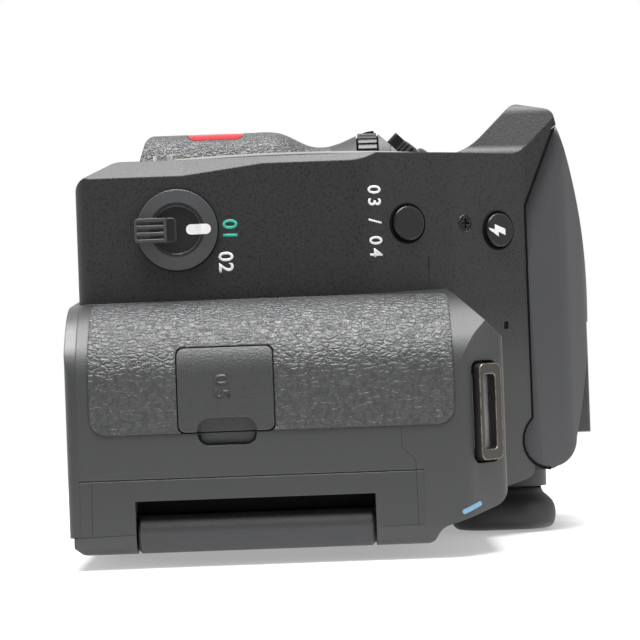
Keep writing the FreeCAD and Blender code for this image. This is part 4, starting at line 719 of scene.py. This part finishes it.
# %% [markdown]
# ## Printed and filled marks
# The real marks are pad-printed on the finished cover, so they have no
# thickness to speak of. Here each is a flat piece that starts clear of the
# camera and is projected onto the cover by a shrinkwrap, a few hundredths of a
# millimetre proud. Only the number on the microphone cover is moulded in its
# rubber, and stands a tenth of a millimetre proud. Plain numbers mark the
# selector's two places, the side button and the mode dial, and simple signs
# mark the other buttons. Each mark rides on the body of the surface that it
# lies on.

# %% Inks
def ink(name, colour, roughness=0.45):
    """Printing ink, a little uneven in its tone."""
    material, tree, shader = start_material(name)
    texture = place_group(tree, moulded_grain, Scale=2200.0, Speck_Scale=1600.0)
    mix = blend_colours(tree, colour, toned(colour, 0.94), texture, "Specks")
    join(tree, mix, MIX_COLOUR, shader, "Base Color")
    vary_roughness(tree, shader, texture, "Cloud", 0.3, 0.7, roughness - 0.05, roughness + 0.05)
    add_bump(tree, shader, texture, "Height", 0.01 * MM, 0.4, None)
    return material


white_ink = ink("white ink", (0.78, 0.78, 0.77))
green_ink = ink("green ink", (0.03, 0.42, 0.3))
blue_ink = ink("blue ink", (0.16, 0.33, 0.47))
print("inks:", white_ink.name, green_ink.name, blue_ink.name)


# %% Lay a flat mark on a cover
# In millimetres: where a mark starts, clear of the camera's left end, rear and top
LEFT_OF_CAMERA = 60
BEHIND_CAMERA = 60
ABOVE_CAMERA = 120
# In millimetres: the thickness of a mark, and how proud it lies
INK_THICKNESS = 0.015
INK_LIFT = 0.02
TURN_TO_LEFT_END = (math.radians(90), 0, math.radians(90))


def lay_on(mark, cover, axis, lift=INK_LIFT):
    """Subdivide a flat mark, then project it along an axis onto a cover."""
    select_only(mark)
    bpy.ops.object.mode_set(mode="EDIT")
    bpy.ops.mesh.select_all(action="SELECT")
    bpy.ops.mesh.quads_convert_to_tris()
    bpy.ops.mesh.subdivide(number_cuts=2)
    bpy.ops.object.mode_set(mode="OBJECT")
    apply_modifier(
        mark, "SHRINKWRAP", target=nodes[cover], wrap_method="PROJECT", offset=lift * MM,
        use_project_x=axis == "X", use_project_y=axis == "Y", use_project_z=axis == "Z",
        use_negative_direction=True, use_positive_direction=False,
    )
    apply_modifier(mark, "SOLIDIFY", thickness=INK_THICKNESS * MM, offset=-1.0)


# %% Print plain numbers
BOLDNESS = 0.02


def printed_text(
    name, body, size, place, turn, cover, axis, material, ride="body", spacing=1.0, lift=INK_LIFT
):
    """A plain printed number, laid on a cover. Its strokes are made bolder by a share of its size."""
    clear_selection()
    bpy.ops.object.text_add(location=[c * MM for c in place], rotation=turn)
    text = bpy.context.active_object
    text.data.body = body
    text.data.size = size * MM
    text.data.align_x = "CENTER"
    text.data.align_y = "CENTER"
    text.data.offset = BOLDNESS * MM * size
    text.data.space_character = spacing
    bpy.ops.object.convert(target="MESH")
    text = bpy.context.active_object
    text.name = name
    settle(text)
    lay_on(text, cover, axis, lift)
    return fit_on(text, ride, material)


def side_print(
    name, body, size, y, z, material, cover="front_cover", ride="body", spacing=1.0, lift=INK_LIFT
):
    """A number on a surface that faces the camera's left end."""
    place = (LEFT_OF_CAMERA, y, z)
    return printed_text(name, body, size, place, TURN_TO_LEFT_END, cover, "X", material, ride, spacing, lift)


side_print("print_one", "01", 3.5, SELECTOR_Y + 0.25, SELECTOR_Z + 9.1, green_ink, spacing=1.1)
side_print("print_two", "02", 3.5, SELECTOR_Y + 5.9, SELECTOR_Z + 8.2, white_ink, spacing=1.1)
side_print("print_side", "03 / 04", 3.1, -15.15, 53.3, white_ink, spacing=1.42)
cover_mark = side_print(
    "cover_mark", "05", 3.6, 12.3, 26.2, port_rubber, cover="microphone_cover", ride="microphone_cover",
    spacing=1.3, lift=0.1,
)
print("faces of the number on the microphone cover:", len(cover_mark.data.polygons))


# %% Flat shapes for marks
def flat_shape(name, points, face="X"):
    """A flat face from points (across, up) in millimetres, facing the left end, the rear or the top."""
    clear_selection()
    bpy.ops.mesh.primitive_circle_add(vertices=len(points), radius=1, fill_type="NGON")
    shape = bpy.context.active_object
    for vertex, (across, up_way) in zip(shape.data.vertices, points):
        places = {
            "X": (LEFT_OF_CAMERA, across, up_way),
            "Y": (-across, BEHIND_CAMERA, up_way),
            "Z": (across, up_way, ABOVE_CAMERA),
        }
        vertex.co = Vector(places[face]) * MM
    settle(shape)
    shape.name = name
    return shape


def rounded_bar(left, right, bottom, top, radius, steps=5):
    """Corner points of a rounded bar, anticlockwise from its right side."""
    points = []
    corners = [
        (right - radius, top - radius, 0),
        (left + radius, top - radius, 90),
        (left + radius, bottom + radius, 180),
        (right - radius, bottom + radius, 270),
    ]
    for across, up_way, first in corners:
        for i in range(steps + 1):
            angle = math.radians(first + 90.0 * i / steps)
            points.append((across + radius * math.cos(angle), up_way + radius * math.sin(angle)))
    return points


def moved(points, across, up_way):
    """The same points, moved across and up."""
    return [(across + a, up_way + b) for a, b in points]


def middle_of(node):
    """The middle of a solid's box as x, y and z, in millimetres."""
    low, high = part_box(node)
    return [(a + b) / 2 / MM for a, b in zip(low, high)]


# %% The white index of the selector
index_points = rounded_bar(SELECTOR_Y - 0.9, SELECTOR_Y + 0.9, SELECTOR_Z + 1.6, SELECTOR_Z + 5.95, 0.85)
selector_index = flat_shape("selector_index", index_points)
lay_on(selector_index, "focus_selector", "X", lift=0.06)
fit_on(selector_index, "focus_selector", white_ink)
print("corners of the index:", len(index_points))

# %% The bolt on the flash button
bolt = [(-0.2, 1.85), (0.95, 1.85), (0.35, 0.55), (1.2, 0.55), (-0.6, -1.9), (-0.1, -0.15), (-1.05, -0.15)]
_, button_y, button_z = middle_of("flash_button")
flash_bolt = flat_shape("flash_bolt", moved(bolt, button_y, button_z))
lay_on(flash_bolt, "flash_button", "X")
fit_on(flash_bolt, "flash_button", white_ink)
print("the bolt is drawn round", round(button_y, 1), round(button_z, 1))

# %% The blue mark at the rear shoulder
slope = math.radians(-22)
shoulder_y = 34.1
shoulder_z = 67.4
leaning_bar = [
    (y * math.cos(slope) + z * math.sin(slope), z * math.cos(slope) - y * math.sin(slope))
    for y, z in rounded_bar(-0.4, 0.4, -1.8, 1.8, 0.3)
]
shoulder_mark = flat_shape("shoulder_mark", moved(leaning_bar, shoulder_y, shoulder_z))
lay_on(shoulder_mark, "front_cover", "X", lift=0.09)
fit_on(shoulder_mark, "body", blue_ink)
print("shoulder mark at", [round(c / MM, 1) for c in shoulder_mark.data.vertices[0].co])

# %% Plain numbers on the mode dial, and its index on the cover
dial_low, dial_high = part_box("mode_dial")
dial_x, dial_y, _ = middle_of("mode_dial")
dial_radius = (dial_high.x - dial_low.x) / 2 / MM
numbers = 6
number_radius = dial_radius - 3.1
for step in range(numbers):
    turn = math.radians(360.0 / numbers * step)
    x = dial_x - number_radius * math.sin(turn)
    y = dial_y + number_radius * math.cos(turn)
    printed_text(
        f"dial_number_{step + 1}", str(step + 1), 3.0, (x, y, ABOVE_CAMERA), (0, 0, turn),
        "mode_dial", "Z", white_ink, ride="mode_dial",
    )
index_bar = rounded_bar(-0.45, 0.45, 0.9, 3.4, 0.42)
dial_index = flat_shape("dial_index", moved(index_bar, dial_x, dial_y + dial_radius), face="Z")
lay_on(dial_index, "top_cover", "Z", lift=0.05)
fit_on(dial_index, "body", white_ink)
print("dial index at", [round(c / MM, 1) for c in dial_index.data.vertices[0].co])

# %% Simple signs on the rear buttons
signs = {
    "play_button": [[(-0.75, -1.0), (1.05, 0.0), (-0.75, 1.0)]],
    "menu_button": [rounded_bar(-1.1, 1.1, z - 0.16, z + 0.16, 0.15) for z in (-0.75, 0.0, 0.75)],
    "info_button": [rounded_bar(-0.28, 0.28, -1.0, 0.35, 0.2), rounded_bar(-0.3, 0.3, 0.75, 1.3, 0.27)],
    "live_view_button": [rounded_bar(-1.15, 1.15, -0.8, 0.8, 0.3)],
}
for button, shapes in signs.items():
    button_x, _, button_z = middle_of(button)
    for number, points in enumerate(shapes, 1):
        sign = flat_shape(f"{button}_sign_{number}", moved(points, -button_x, button_z), face="Y")
        lay_on(sign, button, "Y", lift=0.05)
        fit_on(sign, button, white_ink)
print("buttons with signs:", len(signs))

# %% [markdown]
# ## Gaps and parting lines
# Between two mouldings there is a narrow gap that no light reaches. The solids
# meet closely, so the shade in each gap is painted by a thin dark cord: one point
# is extruded from place to place, the run of edges becomes a curve with a round
# section, and most of the cord lies sunk in the covers. The round gaps are thin
# tori. A pale thin plate puts painted light on the bottom of the strap lug's
# pocket, and a black one puts painted shade on that of the hinge window.

# %% Cords along the gaps
def gap_shade(name, level):
    """The dull dark tone of a gap, as grey as the level."""
    material, tree, shader = start_material(name)
    texture = place_group(tree, moulded_grain)
    grey = (level, level, level)
    tone = blend_colours(tree, grey, toned(grey, 0.6), texture, "Specks")
    join(tree, tone, MIX_COLOUR, shader, "Base Color")
    shader.inputs["Roughness"].default_value = 0.9
    shader.inputs["Specular IOR Level"].default_value = 0.1
    return material


gap_black = gap_shade("gap shade", 0.005)
line_grey = gap_shade("parting line", 0.016)


def cord(name, points, radius, material=gap_black):
    """A thin cord through a run of points in millimetres."""
    clear_selection()
    first = Vector(points[0]) * MM
    bpy.ops.mesh.primitive_plane_add(size=0.1 * MM, location=first)
    bpy.ops.object.mode_set(mode="EDIT")
    bpy.ops.mesh.select_all(action="SELECT")
    bpy.ops.mesh.merge(type="CENTER")
    for now, then in zip(points, points[1:]):
        step = (Vector(then) - Vector(now)) * MM
        bpy.ops.mesh.extrude_region_move(TRANSFORM_OT_translate={"value": step})
    bpy.ops.object.mode_set(mode="OBJECT")
    bpy.ops.object.convert(target="CURVE")
    piece = bpy.context.active_object
    piece.data.bevel_depth = radius * MM
    piece.data.bevel_resolution = 1
    bpy.ops.object.convert(target="MESH")
    piece = bpy.context.active_object
    piece.name = name
    settle(piece)
    return fit_on(piece, "body", material)


# %% Parting lines, and painted shade at the thumb notch, on the left end
# In millimetres: the flat end's place, and how deep and how thick its cords are
END_FACE_X = 56.75
LINE_DEPTH = 0.08
LINE_RADIUS = 0.1
NOTCH_DEPTH = 0.18
NOTCH_RADIUS = 0.25
end_seams = {
    "seam_corner": [(36.75, 0.9), (36.55, 11.0)],
    "seam_far_corner": [(36.55, 52.3), (36.45, 59.2)],
    "seam_foot": [(27.6, 4.1), (36.2, 3.9)],
    "seam_shoulder": [(20.2, 55.9), (23.5, 56.0), (25.7, 58.2), (36.4, 58.35)],
}
for name, run in end_seams.items():
    cord(name, [(END_FACE_X - LINE_DEPTH, y, z) for y, z in run], LINE_RADIUS, material=line_grey)
cord("seam_wall", [(32.1, -8.8, 62.8), (32.1, 0.2, 62.6)], LINE_RADIUS, material=line_grey)
# The notch cord is painted shade along the lower edge of the thumb notch.
notch = [(20.2, 22.3), (21.2, 22.5), (21.8, 23.3), (21.85, 30.7), (21.2, 31.6), (20.2, 31.8)]
cord("notch_shade", [(END_FACE_X - NOTCH_DEPTH, y, z) for y, z in notch], NOTCH_RADIUS)
print("parting lines:", len(end_seams) + 1)

# %% The gap round the flash head
# Corners of the housing's side as (x, z): two bends of its wall, the roof's edge and the flash head's edge
WALL_LOW = (38.0, 51.5)
WALL_BEND = (29.7, 67.5)
ROOF_EDGE = (19.8, 81.5)
FLASH_EDGE = (17.2, 89.0)
# The flash head's hinge as (y, z), and degrees round it from before its lobe, under it, to behind it
FLASH_HINGE = (25.3, 84.7)
LOBE_RADIUS = 5.3
LOBE_ANGLES = range(222, 375, 17)
GAP_DEPTH = 0.05
GAP_RADIUS = 0.26


def wall_x(z):
    """How far the side stands from the middle at a height."""
    low, high = (ROOF_EDGE, FLASH_EDGE) if z > ROOF_EDGE[1] else (WALL_BEND, ROOF_EDGE)
    return low[0] + (high[0] - low[0]) * (z - low[1]) / (high[1] - low[1])


under_lobe = [
    (LOBE_RADIUS * math.cos(math.radians(angle)), LOBE_RADIUS * math.sin(math.radians(angle)))
    for angle in LOBE_ANGLES
]
gap_run = [(-31.6, 87.15), (-17.6, 81.35), (21.2, 81.35)] + moved(under_lobe, *FLASH_HINGE)
cord("flash_gap", [(wall_x(z) - GAP_DEPTH, y, z) for y, z in gap_run], GAP_RADIUS)
print("points along the flash gap:", len(gap_run))


# %% The gaps round the two wall buttons
# In millimetres: the middle of each gap on the housing's side, and its radii
SIDE_BUTTON = (34.0, -14.7, 59.2)
FLASH_BUTTON = (23.69, -13.3, 76.0)
BUTTON_GAP_RADIUS = 3.4
BUTTON_GAP_HALF = 0.24


def gap_ring(name, place, low, high):
    """A dark ring round a button, on the stretch of the side from one corner to the next."""
    clear_selection()
    tilt = math.atan2(high[1] - low[1], low[0] - high[0])
    bpy.ops.mesh.primitive_torus_add(
        location=[c * MM for c in place], rotation=(0, tilt, 0), major_segments=48, minor_segments=8,
        major_radius=BUTTON_GAP_RADIUS * MM, minor_radius=BUTTON_GAP_HALF * MM,
    )
    ring = bpy.context.active_object
    ring.name = name
    settle(ring)
    smooth_faces(ring)
    print(name, "leans by", round(90 - math.degrees(tilt), 1), "degrees")
    return fit_on(ring, "body", gap_black)


gap_ring("side_button_gap", SIDE_BUTTON, WALL_LOW, WALL_BEND)
gap_ring("flash_button_gap", FLASH_BUTTON, WALL_BEND, ROOF_EDGE)


# %% Painted light on the bottom of the strap lug's pocket, and painted shade on that of the hinge window
def thin_plate(name, place, size, material, tilt=0.0):
    """A thin plate by its middle and its size in millimetres, turned about Y."""
    clear_selection()
    bpy.ops.mesh.primitive_cube_add(size=1, location=[c * MM for c in place], rotation=(0, tilt, 0))
    plate = bpy.context.active_object
    plate.name = name
    plate.scale = [c * MM for c in size]
    settle(plate)
    return fit_on(plate, "body", material)


POCKET_LEAN = math.radians(45)
POCKET_MIDDLE = (52.65, 18.2, 69.9)
WINDOW_MIDDLE = (51.2, 32.3, 31.25)
# Painted light: a pale plate stands for the lit bottom of the strap lug's pocket.
pocket_painted_light = moulded_plastic("pocket painted light", (0.3, 0.3, 0.31), 0.5)
thin_plate("lug_pocket_painted_light", POCKET_MIDDLE, (5.2, 12.4, 0.2), pocket_painted_light, POCKET_LEAN)
# Painted shade: a black plate hides the lit bottom of the hinge window.
hinge_window_painted_shade = thin_plate("hinge_window_painted_shade", WINDOW_MIDDLE, (0.2, 2.4, 40.0), gap_black)
print("corners of the window's bottom:", len(hinge_window_painted_shade.data.vertices))

# %% [markdown]
# ## Table, light and camera
# The camera lies on its screen on a white table, with its left end towards the
# viewer. So the table is the plane behind the camera's back, at the eyecup's
# rim, and the viewing camera is rolled. The table takes the camera's soft
# shadow, and further out it glows as white as the tent. It lets the lamps'
# light through, and it is clear from behind, so that the camera's back can
# still be seen and lit.

# %% The table
# In metres: the table's place and side, and the height of the camera's middle
TABLE_Y = cup_high.y + 0.1 * MM
TABLE_SIZE = 0.9
MIDDLE_Z = 0.045
# Distances in metres from the table's middle: shaded like paper up to the first, glowing from the second
PAPER_REACH = 0.05
GLOW_REACH = 0.2
# Share of the glow on the paper
PAPER_GLOW = 0.35


def mix_shaders(tree, mask, output, low, low_name, high, high_name):
    """Blend from one shader to another by a mask."""
    mix = add(tree, "MixShader")
    join(tree, mask, output, mix, 0)
    join(tree, low, low_name, mix, 1)
    join(tree, high, high_name, mix, 2)
    return mix


def table_white():
    """White paper that fades into a glow, for light that comes from the camera's side."""
    material, tree, paper = start_material("white table")
    grain = place_group(tree, moulded_grain, Scale=60.0)
    tone = blend_colours(tree, (0.92, 0.92, 0.92), (0.96, 0.96, 0.96), grain, "Cloud")
    join(tree, tone, MIX_COLOUR, paper, "Base Color")
    paper.inputs["Roughness"].default_value = 0.9
    paper.inputs["Specular IOR Level"].default_value = 0.0
    glow = add(tree, "Emission")
    glow.inputs["Strength"].default_value = 1.0
    reach = distance_from(tree, add(tree, "TexCoord"), (0, TABLE_Y, MIDDLE_Z), along=(1, 1, 1))
    far = map_range(tree, reach, "Value", PAPER_REACH, GLOW_REACH, PAPER_GLOW, 1.0)
    bright = mix_shaders(tree, far, "Result", paper, "BSDF", glow, "Emission")
    clear = add(tree, "BsdfTransparent")
    unseen = add(tree, "Math", operation="MAXIMUM")
    join(tree, add(tree, "LightPath"), "Is Shadow Ray", unseen, 0)
    join(tree, add(tree, "NewGeometry"), "Backfacing", unseen, 1)
    final = mix_shaders(tree, unseen, "Value", bright, "Shader", clear, "BSDF")
    join(tree, final, "Shader", tree.nodes["Material Output"], "Surface")
    return material


clear_selection()
bpy.ops.mesh.primitive_plane_add(
    size=TABLE_SIZE, location=(0, TABLE_Y, MIDDLE_Z), rotation=(math.radians(90), 0, 0)
)
table = bpy.context.active_object
settle(table)
table.name = "table"
table.data.materials.append(table_white())
print("table normal:", tuple(round(c, 2) for c in table.data.polygons[0].normal))

# %% The light tent
world = bpy.data.worlds.new("light tent")
bpy.context.scene.world = world
world.use_nodes = True
sky = world.node_tree
back = sky.nodes["Background"]
back.inputs["Color"].default_value = (1, 1, 1, 1)
path = add(sky, "LightPath")
# How bright the tent is for soft light, and at its opening for mirrored light
SOFT_LIGHT = 0.5
OPENING_LIGHT = 0.3


def sky_math(operation, first, second):
    """Combine two strengths, where each is a number or an output."""
    node = add(sky, "Math", operation=operation)
    for socket, value in zip(node.inputs, (first, second)):
        if isinstance(value, float):
            socket.default_value = value
        else:
            sky.links.new(value, socket)
    return node.outputs["Value"]


def sky_mix(share, low, high):
    """Blend from one strength to another, where each is a number or an output."""
    raised = sky_math("MULTIPLY", share, high)
    rest = sky_math("MULTIPLY", sky_math("SUBTRACT", 1.0, share), low)
    return sky_math("ADD", raised, rest)


# The tent has its opening where the viewer stands, so covers that face it mirror a darker place.
looking = add(sky, "TexCoord")
towards = add(sky, "VectorMath", operation="DOT_PRODUCT")
towards.inputs[1].default_value = (1, 0, 0)
join(sky, looking, "Generated", towards, 0)
opening = map_range(sky, towards, "Value", -0.2, 0.6, 1.0, OPENING_LIGHT)
opening.interpolation_type = "SMOOTHSTEP"
inside = sky_mix(path.outputs["Is Glossy Ray"], SOFT_LIGHT, opening.outputs["Result"])
seen = sky_math("MAXIMUM", path.outputs["Is Camera Ray"], path.outputs["Is Transmission Ray"])
sky.links.new(sky_mix(seen, inside, 1.0), back.inputs["Strength"])
print("nodes of the tent:", len(sky.nodes))


# %% The lamps
def soft_lamp(name, place, size, watts):
    """A large square lamp at a place, aimed at the camera's middle, in metres."""
    light = bpy.data.lights.new(name, "AREA")
    light.size = size
    light.energy = watts
    lamp = bpy.data.objects.new(name, light)
    bpy.context.scene.collection.objects.link(lamp)
    lamp.location = place
    aim = Vector((0, 0, MIDDLE_Z)) - Vector(place)
    lamp.rotation_euler = aim.to_track_quat("-Z", "Y").to_euler()
    return lamp


front_lamp = soft_lamp("front lamp", (0.24, -1.3, -0.02), size=0.9, watts=44)
soft_lamp("high lamp", (0.7, -0.5, 1.1), size=0.8, watts=1.5)
soft_lamp("rear lamp", (-0.7, 1.0, 0.7), size=0.9, watts=8)
print("lamps:", [light.name for light in bpy.data.lights])

# %% Flag the front lamp off the pieces that mirror it
mirror_like = [
    "mount_ring", "mount_screws", "lens_contacts", "lock_pin", "af_coupler", "aperture_lever", "screen_glass",
]
flagged = bpy.data.collections.new("flagged pieces")
for name in mirror_like:
    flagged.objects.link(nodes[name])
for entry in flagged.collection_objects:
    entry.light_linking.link_state = "EXCLUDE"
front_lamp.light_linking.receiver_collection = flagged

# %% The viewing camera
# The view has the photo's width and its focal length in pixels.
PHOTO_WIDTH = 640.0
FOCAL_LENGTH = 2220.0
SENSOR_WIDTH = 36.0
VIEWER_PLACE = Vector((426.75, 1.83, 43.1)) * MM
VIEWER_TILT = math.radians(2.1)
view = bpy.data.cameras.new("view")
view.sensor_width = SENSOR_WIDTH
view.lens = SENSOR_WIDTH * FOCAL_LENGTH / PHOTO_WIDTH
viewer = bpy.data.objects.new("view", view)
bpy.context.scene.collection.objects.link(viewer)
right = Vector((0, math.sin(VIEWER_TILT), math.cos(VIEWER_TILT)))
up = Vector((0, -math.cos(VIEWER_TILT), math.sin(VIEWER_TILT)))
back_way = Vector((1, 0, 0))
turn = Matrix((right, up, back_way)).transposed()
viewer.matrix_world = Matrix.Translation(VIEWER_PLACE) @ turn.to_4x4()
bpy.context.scene.camera = viewer
bpy.context.scene.view_settings.view_transform = "Standard"
print("focal length on the sensor:", round(view.lens, 1), "mm")
